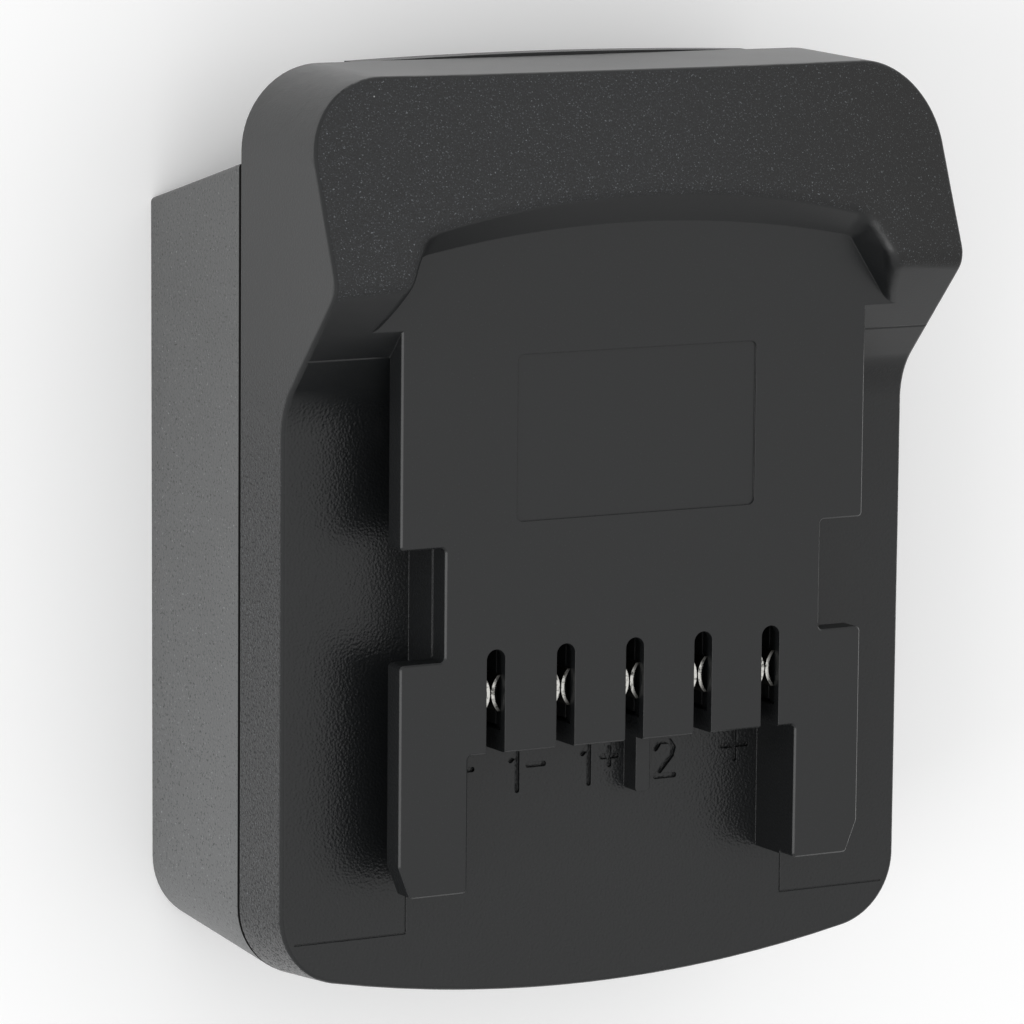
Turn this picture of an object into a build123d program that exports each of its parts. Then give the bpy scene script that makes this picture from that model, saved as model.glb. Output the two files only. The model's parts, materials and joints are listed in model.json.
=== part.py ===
from build123d import *
from math import cos, radians, sin, sqrt, tan
import os

# Tool battery adapter: a slide-on block that lets a pack with one rail pattern drive a
# tool with another. It lies on its pack side, with the tool deck facing up (+Z) and the
# humped end towards +Y. The origin is the middle of the standing rim.

# Whole body
body_width = 75.0
hump_length = 26.0
deck_length = 44.4
leg_length = 14.4
tray_margin = 13.8
housing_depth = 20.8
cover_depth = 9.6
deck_height = 7.6
wall = 2.2
overrun = 2.0
seam_chamfer = 0.2

# Outline seen from above
top_corner_radius = 8.8
bottom_corner_radius = 7.8
bottom_arc_radius = 160.0
top_draft = 1.7
bottom_draft = 4.8

# Hump and ramp of the cover
ramp_angle = 42.0
ramp_foot_radius = 8.0
nose_height = 4.3
nose_radius = 2.6
hump_slope = 21.2
hump_crown = 1.9
rim_radius = 0.5

# Arched pocket that carries the deck plane into the hump
pocket_margin = 2.7
pocket_corner_inset = 4.9
pocket_corner_drop = 2.5
pocket_depth = 10.0
pocket_corner_radius = 1.6
pocket_wall_rise = 7.0
pocket_arch_flare = 8.6
pocket_side_flare = 1.6
pocket_corner_flare = 6.0
pocket_mouth_flare = 0.9
pocket_flare_radius = 4.0
pocket_lip_radius = 1.6

# Tool deck: flanges, notches, legs
channel_width = 9.7
flange_thickness = 2.65
flange_overhang = 5.05
notch_depth = 5.2
notch_length = 11.8
notch_rise = 10.0
leg_width = 2.95
leg_bevel_width = 1.35
leg_bevel_length = 3.4
deck_corner_radius = 0.5
deck_edge_break = 0.2
web_wall = 2.55
deck_plate = 2.4
label_width = 28.6
label_length = 17.3
label_setback = 3.1
label_corner_radius = 0.7
label_depth = 0.2
witness_width = 0.16
witness_depth = 0.12
witness_length = 5.4
witness_margin = 1.6

# Contact slots and the rib beside the middle one
slot_count = 5
slot_margin = 6.15
slot_width = 2.2
slot_length = 10.9
slot_floor = 0.8
rib_width = 1.7
rib_height = 2.45
rib_length = 6.7
rib_radius = 0.4

# Pack side of the housing
end_wall_setback = 10.0
end_wall_slope = 14.5
end_corner_radius = 0.5
rim_taper = 0.2
side_box_width = 7.5
receiver_height = 13.6
receiver_setback = 11.3
rail_reach = 4.5
rail_thickness = 3.5
rail_lead_in = 1.2
side_box_floor = 2.6
shelf_thickness = 2.0
shelf_fit = 0.15
catch_width = 18.0
catch_length = 5.0
catch_setback = 19.3
catch_depth = 1.7
catch_wall = 1.6

# Screws that hold the two shells
ramp_screw_inset = 4.3
ramp_screw_setback = 12.3
corner_screw_inset = 8.0
corner_screw_setback = 8.1
boss_radius = 2.8
shell_screw_radius = 1.35
shell_head_radius = 2.5
shell_head_height = 1.9
shell_head_sink = 3.0
shell_screw_grip = 6.0
pilot_fit = 0.06
hole_fit = 0.25
cross_width = 0.7
cross_depth = 0.9

# Small screws
small_screw_radius = 1.0
small_head_radius = 1.9
small_head_height = 1.3
small_screw_grip = 3.6
small_boss_radius = 2.3

# Contact clips and their carrier
clip_setback = 4.8
clip_drop = 1.1
clip_height = 8.9
clip_thickness = 0.4
clip_gap = 0.06
clip_spread = 0.75
bead_half = 1.9
leaf_front = 3.2
leaf_back = 5.2
leaf_drop = 4.0
clip_base_thickness = 0.5
tail_width = 1.2
tail_thickness = 0.5
tail_offset = 3.0
power_tail_drop = 4.6
pocket_fit = 0.3
carrier_wall = 1.9
carrier_floor = 1.4
ear_depth = 4.6
ear_rise = 2.4
ear_thickness = 2.0
ear_screw_inset = 7.5

# Circuit board and what it carries
board_margin = 8.75
board_lead_in = 9.0
board_length = 24.0
board_drop = 0.6
board_thickness = 1.6
board_hole_radius = 0.95
board_screw_inset = 2.6
chip_length = 6.0
chip_width = 4.4
chip_height = 1.3
fuse_length = 7.0
fuse_width = 3.0
fuse_height = 2.2
fuse_setback = 6.0
capacitor_radius = 2.5
capacitor_length = 2.6
capacitor_offset = 5.0

# Terminal block and blades
block_margin = 8.0
block_depth = 6.8
block_gap = 0.1
blade_thickness = 0.8
blade_length = 11.0
blade_rise = 2.1
blade_height = 6.2
signal_blade_height = 4.2
power_blade_x = 14.0
signal_blade_x = 4.7
blade_nose = 1.0
blade_tail_width = 3.0
blade_tail_rise = 3.6
blade_fit = 0.08

# Leads
power_lead_radius = 1.0
signal_lead_radius = 0.5
lead_drop = 1.6
lead_straight = 6.0
lead_bend_radius = 7.0
signal_bend_radius = 3.4

# Release button, latch slide, lugs
release_travel = 2.6
running_gap = 0.3
button_margin = 13.5
button_depth = 7.0
button_crown = 0.45
button_proud = 0.3
button_thickness = 2.6
button_corner_radius = 1.2
grip_count = 4
grip_pitch = 1.4
grip_depth = 0.4
neck_half = 8.0
neck_length = 3.2
neck_inset = 0.7
stake_radius = 1.3
stake_x = 4.6
stake_fit = 0.06
stake_head_radius = 2.0
stake_head_height = 0.7
slide_thickness = 2.0
slide_half = 9.0
slide_tail = 0.2
cam_head_margin = 4.0
cam_head_lead = 4.4
cam_head_length = 11.4
shoulder_setback = 9.9
shoulder_length = 2.0
shoulder_height = 5.4
shoulder_inner = 11.0
shoulder_outer = 17.2
slide_corner_radius = 1.0
lug_setback = 13.3
lug_width = 4.7
lug_heel = 4.6
lug_reach = 2.45
lug_height = 3.5
lug_lead_in = 2.2
lug_lead_length = 3.2
pin_setback = 10.75
pin_radius = 1.5
pin_fit = 0.1
pin_overhang = 0.6
guide_fit = 0.15
latch_plate_thickness = 2.3
latch_plate_lead = 4.4
latch_plate_length = 12.4
latch_rib = 1.4
latch_screw_x = 4.0

# Return springs
spring_radius = 2.0
spring_wire = 0.5
spring_length = 10.5
seat_thickness = 2.0
spigot_radius = 1.3
spigot_length = 2.6

# Levels and lines that several pieces share, worked out from the sizes above.
body_length = tray_margin + leg_length + deck_length + hump_length
half_width = body_width / 2
top_y = body_length / 2
bottom_y = -body_length / 2
leg_end = bottom_y + tray_margin
step_y = leg_end + leg_length
ramp_start = top_y - hump_length
parting_z = housing_depth
base_z = parting_z + cover_depth
deck_z = base_z + deck_height
flange_z = deck_z - flange_thickness
tray_roof = base_z - wall
ceiling_z = deck_z - deck_plate

flange_half = half_width - channel_width
web_half = flange_half - flange_overhang
web_inner_half = web_half - web_wall
notch_half = flange_half - notch_depth
notch_bottom = step_y + notch_rise
notch_top = notch_bottom + notch_length
leg_inner_half = web_half - leg_width
label_centre_y = ramp_start - label_setback - label_length / 2
pocket_mouth_half = flange_half + pocket_margin
pocket_corner_half = pocket_mouth_half - pocket_corner_inset
slot_pitch = 2 * (web_half - slot_margin) / (slot_count - 1)
slot_places = [slot_pitch * (i - (slot_count - 1) / 2) for i in range(slot_count)]
slot_top = step_y + slot_length

ramp_rate = tan(radians(ramp_angle))
hump_rate = tan(radians(hump_slope))
foot_y = ramp_start - deck_height / ramp_rate
nose_y = ramp_start + nose_height / ramp_rate
nose_z = deck_z + nose_height
crest_y = nose_y + hump_crown / (ramp_rate + hump_rate)
crest_z = nose_z + hump_crown * ramp_rate / (ramp_rate + hump_rate)
cover_top_z = nose_z + hump_crown + overrun

end_wall_y = top_y - end_wall_setback
receiver_half = half_width - side_box_width
rail_inner_half = receiver_half - rail_reach
receiver_end = bottom_y + receiver_setback
receiver_roof = receiver_height + wall
catch_y = end_wall_y - catch_setback
shelf_top = parting_z + shelf_thickness

clip_y = slot_top - clip_setback
clip_top = deck_z - clip_drop
clip_base_z = clip_top - clip_height
tail_y = clip_y + tail_offset
carrier_half = web_inner_half - running_gap
carrier_base_z = clip_base_z - carrier_floor
ear_screw_x = carrier_half - ear_screw_inset
ear_z = carrier_base_z + ear_rise
board_half = web_half - board_margin
board_front = tail_y - board_lead_in
board_back = board_front + board_length
board_z = parting_z - board_drop

button_half = half_width - button_margin
button_inner_y = top_y - button_depth
neck_inner_y = button_inner_y + neck_inset
slide_z = shelf_top + running_gap
slide_top = slide_z + slide_thickness
slide_end_y = neck_inner_y + neck_length + slide_tail
shoulder_y = slide_end_y - shoulder_setback
spring_seat_y = shoulder_y - spring_length
spring_x = (shoulder_inner + shoulder_outer) / 2
spring_z = slide_z + shoulder_height / 2
lug_y = ramp_start - lug_setback
lug_z = flange_z - running_gap - lug_height
pin_x = web_half - pin_setback
lug_inner_x = pin_x - lug_heel
cam_head_half = pin_x + cam_head_margin
cam_head_front = lug_y - cam_head_lead
cam_head_back = cam_head_front + cam_head_length
latch_plate_z = lug_z - guide_fit - latch_plate_thickness
latch_plate_half = web_inner_half - running_gap
latch_plate_front = lug_y - latch_plate_lead
latch_plate_back = latch_plate_front + latch_plate_length
latch_rib_inner = latch_screw_x + small_head_radius + spring_wire


def arc_drop(half, radius):
    """How far an arc of this radius falls at a half width from its middle."""
    return radius - sqrt(radius**2 - half**2)


def outline(level, half, upper, lower, foot_half):
    """Body outline at one level: straight head, straight flanks, arched foot end."""
    drop = arc_drop(foot_half, bottom_arc_radius)
    with BuildSketch(Plane.XY.offset(level)) as flat:
        with BuildLine():
            Line((-half, upper), (half, upper))
            Line((half, upper), (foot_half, lower + drop))
            ThreePointArc((foot_half, lower + drop), (0, lower), (-foot_half, lower + drop))
            Line((-foot_half, lower + drop), (-half, upper))
        make_face()
    return flat.sketch


def rounded_block(sketches, head_radius, foot_radius):
    """A block lofted through these outlines, with its four upright corners rounded."""
    with BuildPart() as block:
        for sketch in sketches:
            add(sketch)
        loft(ruled=True)
        heads = block.edges().filter_by(Plane.XY, reverse=True).group_by(Axis.Y)[-1]
        fillet(heads, head_radius)
        feet = block.edges().filter_by(Plane.XY, reverse=True).group_by(Axis.Y)[0]
        fillet(feet, foot_radius)
    return block.part


def cover_outline(level, inset):
    """Cover outline at a level, with the draft of its two ends and an inward offset."""
    rise = level - parting_z
    upper = top_y - rise * tan(radians(top_draft)) - inset
    lower = bottom_y + rise * tan(radians(bottom_draft)) + inset
    half = half_width - inset
    return outline(level, half, upper, lower, half)


def housing_outline(level, inset):
    """Housing outline at a level: the hump end leans back, the foot end is drafted."""
    fall = parting_z - level
    upper = end_wall_y - fall * tan(radians(end_wall_slope)) - inset
    lower = bottom_y + fall * tan(radians(bottom_draft)) + inset
    half = half_width - inset
    foot_half = half - rim_taper * fall / housing_depth
    return outline(level, half, upper, lower, foot_half)


# Tool-side cover
# Hollow inside of the cover: the shallow tray, the space under the hump and the deck box.
hollow_ramp_shift = wall / sin(radians(ramp_angle))
hollow_hump_drop = wall / cos(radians(hump_slope))
hollow_foot_y = ramp_start + (tray_roof - deck_z) / ramp_rate + hollow_ramp_shift
hollow_ramp_top = ramp_start + (ceiling_z - deck_z) / ramp_rate + hollow_ramp_shift
hollow_flat_end = nose_y + (nose_z - hollow_hump_drop - ceiling_z) / hump_rate
hollow_end_z = nose_z - hollow_hump_drop - hump_rate * (top_y - nose_y)
hollow_limit = rounded_block(
    [cover_outline(parting_z - overrun, wall), cover_outline(cover_top_z, wall)],
    top_corner_radius - wall,
    bottom_corner_radius - wall,
)

with BuildPart() as cover_hollow:
    with BuildSketch(Plane.YZ):
        with BuildLine():
            Polyline(
                (bottom_y, parting_z - overrun),
                (bottom_y, tray_roof),
                (hollow_foot_y, tray_roof),
                (hollow_ramp_top, ceiling_z),
                (hollow_flat_end, ceiling_z),
                (top_y, hollow_end_z),
                (top_y, parting_z - overrun),
                close=True,
            )
        make_face()
    extrude(amount=half_width, both=True)
    add(hollow_limit, mode=Mode.INTERSECT)
    with BuildSketch(Plane.XY.offset(parting_z)):
        with Locations((0, (step_y + wall + hollow_ramp_top) / 2)):
            Rectangle(2 * (web_half - web_wall), hollow_ramp_top - step_y - wall)
    extrude(amount=ceiling_z - parting_z)

# The pocket's cutter: its floor is the deck plane, its walls lean out towards the hump.
pocket_apex = ramp_start + pocket_depth
pocket_corner_y = pocket_apex - pocket_corner_drop
side_rate = (pocket_mouth_half - pocket_corner_half) / (pocket_corner_y - ramp_start)
mouth_y = foot_y
mouth_half = pocket_mouth_half + side_rate * (ramp_start - mouth_y)
flare_apex = pocket_apex + pocket_arch_flare
flare_corner_half = pocket_corner_half + pocket_side_flare
flare_corner_y = pocket_corner_y + pocket_corner_flare
flare_mouth_half = pocket_mouth_half + pocket_mouth_flare
with BuildPart() as pocket_cutter:
    with BuildSketch(Plane.XY.offset(deck_z)) as pocket_floor:
        with BuildLine():
            ThreePointArc(
                (-pocket_corner_half, pocket_corner_y),
                (0, pocket_apex),
                (pocket_corner_half, pocket_corner_y),
            )
            Polyline(
                (pocket_corner_half, pocket_corner_y),
                (mouth_half, mouth_y),
                (-mouth_half, mouth_y),
                (-pocket_corner_half, pocket_corner_y),
            )
        make_face()
        fillet(pocket_floor.vertices().group_by(Axis.Y)[-1], pocket_corner_radius)
    with BuildSketch(Plane.XY.offset(deck_z + pocket_wall_rise)) as pocket_flare:
        with BuildLine():
            ThreePointArc(
                (-flare_corner_half, flare_corner_y),
                (0, flare_apex),
                (flare_corner_half, flare_corner_y),
            )
            Polyline(
                (flare_corner_half, flare_corner_y),
                (flare_mouth_half, mouth_y),
                (-flare_mouth_half, mouth_y),
                (-flare_corner_half, flare_corner_y),
            )
        make_face()
        fillet(pocket_flare.vertices().group_by(Axis.Y)[-1], pocket_flare_radius)
    loft(ruled=True)

# The crowned hump face, as a tall block whose roof is an arc swept down the slope.
crown_radius = (half_width**2 + hump_crown**2) / (2 * hump_crown)
crown_direction = (0, cos(radians(hump_slope)), -sin(radians(hump_slope)))
crown_plane = Plane(origin=(0, nose_y, nose_z), x_dir=(-1, 0, 0), z_dir=crown_direction)
with BuildPart() as crown_block:
    with BuildSketch(crown_plane):
        with BuildLine():
            ThreePointArc((-half_width, 0), (0, hump_crown), (half_width, 0))
            Line((half_width, 0), (half_width + overrun, 0))
            Line((half_width + overrun, 0), (half_width + overrun, -body_length))
            Line((half_width + overrun, -body_length), (-half_width - overrun, -body_length))
            Line((-half_width - overrun, -body_length), (-half_width - overrun, 0))
            Line((-half_width - overrun, 0), (-half_width, 0))
        make_face()
    extrude(amount=body_length, both=True)

with BuildPart() as cover_limit:
    add(
        rounded_block(
            [cover_outline(parting_z, 0), cover_outline(cover_top_z, 0)],
            top_corner_radius,
            bottom_corner_radius,
        )
    )
    chamfer(cover_limit.edges().group_by(Axis.Z)[0], seam_chamfer)

with BuildPart() as cover_body:
    with BuildSketch(Plane.YZ) as side:
        with BuildLine():
            Polyline(
                (bottom_y - overrun, parting_z),
                (bottom_y - overrun, base_z),
                (foot_y, base_z),
                (crest_y, crest_z),
                (top_y + overrun, crest_z - hump_rate * (top_y + overrun - crest_y)),
                (top_y + overrun, parting_z),
                close=True,
            )
        make_face()
        foot = side.vertices().sort_by_distance((0, foot_y, base_z))[0]
        fillet(foot, ramp_foot_radius)
    extrude(amount=half_width + overrun, both=True)
    add(crown_block.part, mode=Mode.INTERSECT)
    add(cover_limit.part, mode=Mode.INTERSECT)
    crest = cover_body.edges().filter_by(Axis.X, reverse=True).sort_by_distance(
        (0, crest_y, crest_z)
    )[0]
    fillet(crest, nose_radius)

    rim = [
        e
        for e in cover_body.edges()
        if e.bounding_box().min.Z > parting_z + rim_radius
        and (
            abs(e.center().X) > half_width - overrun
            or e.center().Y > top_y - top_corner_radius
            or e.center().Y < bottom_y + bottom_corner_radius
        )
    ]
    fillet(rim, rim_radius)

# Deck plan, right half: flange edge, notch, leg with its bevelled toe, step.
deck_head_y = ramp_start + wall
with BuildPart() as deck_block:
    with BuildSketch(Plane.XY.offset(flange_z)) as flange_plan:
        with BuildLine():
            Polyline(
                (-flange_half, deck_head_y),
                (flange_half, deck_head_y),
                (flange_half, notch_top),
                (notch_half, notch_top),
                (notch_half, notch_bottom),
                (flange_half, notch_bottom),
                (flange_half, leg_end + leg_bevel_length),
                (flange_half - leg_bevel_width, leg_end),
                (leg_inner_half, leg_end),
                (leg_inner_half, step_y),
                (-leg_inner_half, step_y),
                (-leg_inner_half, leg_end),
                (-flange_half + leg_bevel_width, leg_end),
                (-flange_half, leg_end + leg_bevel_length),
                (-flange_half, notch_bottom),
                (-notch_half, notch_bottom),
                (-notch_half, notch_top),
                (-flange_half, notch_top),
                close=True,
            )
        make_face()
        corners = [v for v in flange_plan.vertices() if v.Y < deck_head_y - wall]
        fillet(corners, deck_corner_radius)
    extrude(amount=flange_thickness)
    deck_edges = deck_block.edges().group_by(Axis.Z)[-1].sort_by(Axis.Y)[:-1]
    chamfer(deck_edges, deck_edge_break)
    with BuildSketch(Plane.XY.offset(tray_roof)):
        with BuildLine():
            Polyline(
                (-web_half, deck_head_y),
                (web_half, deck_head_y),
                (web_half, leg_end),
                (leg_inner_half, leg_end),
                (leg_inner_half, step_y),
                (-leg_inner_half, step_y),
                (-leg_inner_half, leg_end),
                (-web_half, leg_end),
                close=True,
            )
        make_face()
    extrude(amount=flange_z - tray_roof)

clip_outer = clip_gap + clip_spread + clip_thickness
pocket_half = clip_outer + pocket_fit
pocket_back = clip_y + leaf_back + pocket_fit
ear_top = ear_z + ear_thickness
carrier_back = pocket_back + carrier_wall
ear_y = carrier_back + ear_depth / 2
latch_plate_top = latch_plate_z + latch_plate_thickness
seat_width = shoulder_outer - shoulder_inner
shell_screw_places = [
    (-half_width + ramp_screw_inset, ramp_start - ramp_screw_setback),
    (half_width - ramp_screw_inset, ramp_start - ramp_screw_setback),
    (-half_width + corner_screw_inset, bottom_y + corner_screw_setback),
    (half_width - corner_screw_inset, bottom_y + corner_screw_setback),
]
ear_screw_places = [(-ear_screw_x, ear_y), (ear_screw_x, ear_y)]
latch_screw_y = lug_y + lug_width / 2 + small_boss_radius + running_gap
latch_screw_places = [(-latch_screw_x, latch_screw_y), (latch_screw_x, latch_screw_y)]
with BuildPart() as tool_side_cover:
    add(cover_body.part)
    add(pocket_cutter.part, mode=Mode.SUBTRACT)
    lip = [
        e
        for e in tool_side_cover.edges()
        if e.bounding_box().min.Z > deck_z + pocket_lip_radius
        and abs(e.center().X) < flare_mouth_half + pocket_mouth_flare
        and ramp_start < e.center().Y < flare_apex
        and e.length > pocket_lip_radius
    ]
    fillet(lip, pocket_lip_radius)
    add(deck_block.part)
    add(cover_hollow.part, mode=Mode.SUBTRACT)
    # Contact slots, open at the step.
    with BuildSketch(Plane.XY.offset(deck_z + overrun)):
        slot_run = slot_top - slot_width / 2 - step_y + overrun
        with Locations([(x, slot_top - slot_width / 2) for x in slot_places]):
            Circle(slot_width / 2)
            Rectangle(slot_width, slot_run, align=(Align.CENTER, Align.MAX))
    extrude(amount=-(deck_z + overrun - base_z - slot_floor), mode=Mode.SUBTRACT)
    # Relief in the underside of the deck plate, round each pair of contact leaves.
    with BuildSketch(Plane.XY.offset(clip_top + guide_fit)):
        relief_front = step_y + wall
        with Locations([(x, (relief_front + pocket_back) / 2) for x in slot_places]):
            Rectangle(2 * pocket_half, pocket_back - relief_front)
    extrude(amount=-(clip_top + guide_fit - ceiling_z), mode=Mode.SUBTRACT)
    # Label field.
    with BuildSketch(Plane.XY.offset(deck_z)):
        with Locations((0, label_centre_y)):
            RectangleRounded(label_width, label_length, label_corner_radius)
    extrude(amount=-label_depth, mode=Mode.SUBTRACT)
    # Rib on the base between the middle slot and the next.
    with BuildSketch(Plane.XY.offset(base_z)) as rib_plan:
        with Locations((slot_pitch / 2, step_y - rib_length / 2)):
            Rectangle(rib_width, rib_length)
        fillet(rib_plan.vertices().group_by(Axis.Y)[0], rib_radius)
    extrude(amount=rib_height)
    # Witness lines left by the side slides of the mould: on the ramp and on the tray floor.
    witness_x = web_half + witness_width
    witness_y = leg_end - witness_length
    for side_sign in (-1, 1):
        with BuildSketch(Plane.XY.offset(flange_z + witness_width / 2)):
            ramp_y = ramp_start - flange_thickness / ramp_rate
            with Locations((side_sign * (flange_half + half_width) / 2, ramp_y)):
                Rectangle(half_width - flange_half, 2 * witness_depth)
        extrude(amount=-witness_width, mode=Mode.SUBTRACT)
        with BuildSketch(Plane.XY.offset(base_z)):
            witness_end = half_width - witness_margin
            with Locations((side_sign * (witness_x + witness_end) / 2, witness_y)):
                Rectangle(witness_end - witness_x, witness_width)
            with Locations((side_sign * witness_x, (witness_y + leg_end) / 2)):
                Rectangle(witness_width, leg_end - witness_y)
        extrude(amount=-witness_depth, mode=Mode.SUBTRACT)
    # Screw bosses for the two shells, hanging from the tray roof.
    with BuildSketch(Plane.XY.offset(parting_z)):
        with Locations(shell_screw_places):
            Circle(boss_radius)
    extrude(amount=tray_roof - parting_z + wall / 2)
    # Bosses for the contact carrier and the latch plate, hanging from the deck plate.
    with BuildSketch(Plane.XY.offset(ear_top)):
        with Locations(ear_screw_places):
            Circle(small_boss_radius)
    extrude(amount=ceiling_z - ear_top + deck_plate / 2)
    with BuildSketch(Plane.XY.offset(latch_plate_top)):
        with Locations(latch_screw_places):
            Circle(small_boss_radius)
    extrude(amount=ceiling_z - latch_plate_top + deck_plate / 2)
    # Spring seats and the rib that keeps the slide down, inside the hump.
    with BuildSketch(Plane.XY.offset(slide_z)):
        with Locations((-spring_x, spring_seat_y), (spring_x, spring_seat_y)):
            Rectangle(seat_width, seat_thickness, align=(Align.CENTER, Align.MAX))
    extrude(amount=ceiling_z - slide_z + deck_plate / 2)
    with BuildSketch(Plane.XY.offset(slide_top + running_gap)):
        with Locations((0, spring_seat_y + wall)):
            Rectangle(2 * neck_half, wall)
    extrude(amount=ceiling_z - slide_top - running_gap + deck_plate / 2)
    with BuildSketch(Plane.XZ.offset(-spring_seat_y)):
        with Locations((-spring_x, spring_z), (spring_x, spring_z)):
            Circle(spigot_radius)
    extrude(amount=-spigot_length)
    # Screw holes.
    with BuildSketch(Plane.XY.offset(parting_z)):
        with Locations(shell_screw_places):
            Circle(shell_screw_radius + pilot_fit)
    extrude(amount=shell_screw_grip + hole_fit, mode=Mode.SUBTRACT)
    with BuildSketch(Plane.XY.offset(ear_top)):
        with Locations(ear_screw_places):
            Circle(small_screw_radius + pilot_fit)
    extrude(amount=small_screw_grip + hole_fit, mode=Mode.SUBTRACT)
    with BuildSketch(Plane.XY.offset(latch_plate_top)):
        with Locations(latch_screw_places):
            Circle(small_screw_radius + pilot_fit)
    extrude(amount=small_screw_grip + hole_fit, mode=Mode.SUBTRACT)
    # Windows in the web for the latch lugs.
    with BuildSketch(Plane.XY.offset(lug_z - guide_fit)):
        with Locations((0, lug_y)):
            Rectangle(2 * (web_half + overrun / 2), lug_width + 2 * guide_fit)
    extrude(amount=lug_height + 2 * guide_fit, mode=Mode.SUBTRACT)
    tool_side_cover.part.label = "tool_side_cover"

# Battery-side housing
with BuildPart() as housing_block:
    add(
        rounded_block(
            [housing_outline(parting_z, 0), housing_outline(0, 0)],
            end_corner_radius,
            bottom_corner_radius,
        )
    )
    chamfer(housing_block.edges().group_by(Axis.Z)[-1], seam_chamfer)

with BuildPart() as housing_hollow:
    add(
        rounded_block(
            [housing_outline(parting_z, wall), housing_outline(side_box_floor, wall)],
            end_corner_radius / 2,
            bottom_corner_radius - wall,
        )
    )
    with BuildSketch(Plane.XY.offset(side_box_floor)):
        with Locations((0, receiver_end - wall)):
            Rectangle(
                2 * (receiver_half + wall), body_length, align=(Align.CENTER, Align.MIN)
            )
    extrude(amount=receiver_roof - side_box_floor, mode=Mode.SUBTRACT)

shelf_inset = wall + shelf_fit
with BuildPart() as shelf:
    add(
        rounded_block(
            [cover_outline(parting_z, shelf_inset), cover_outline(shelf_top, shelf_inset)],
            top_corner_radius - shelf_inset,
            bottom_corner_radius - shelf_inset,
        )
    )
    with BuildSketch(Plane.XY.offset(parting_z)):
        with Locations((0, end_wall_y - wall)):
            Rectangle(body_width, body_length, align=(Align.CENTER, Align.MAX))
    extrude(amount=shelf_thickness, mode=Mode.SUBTRACT)

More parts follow.
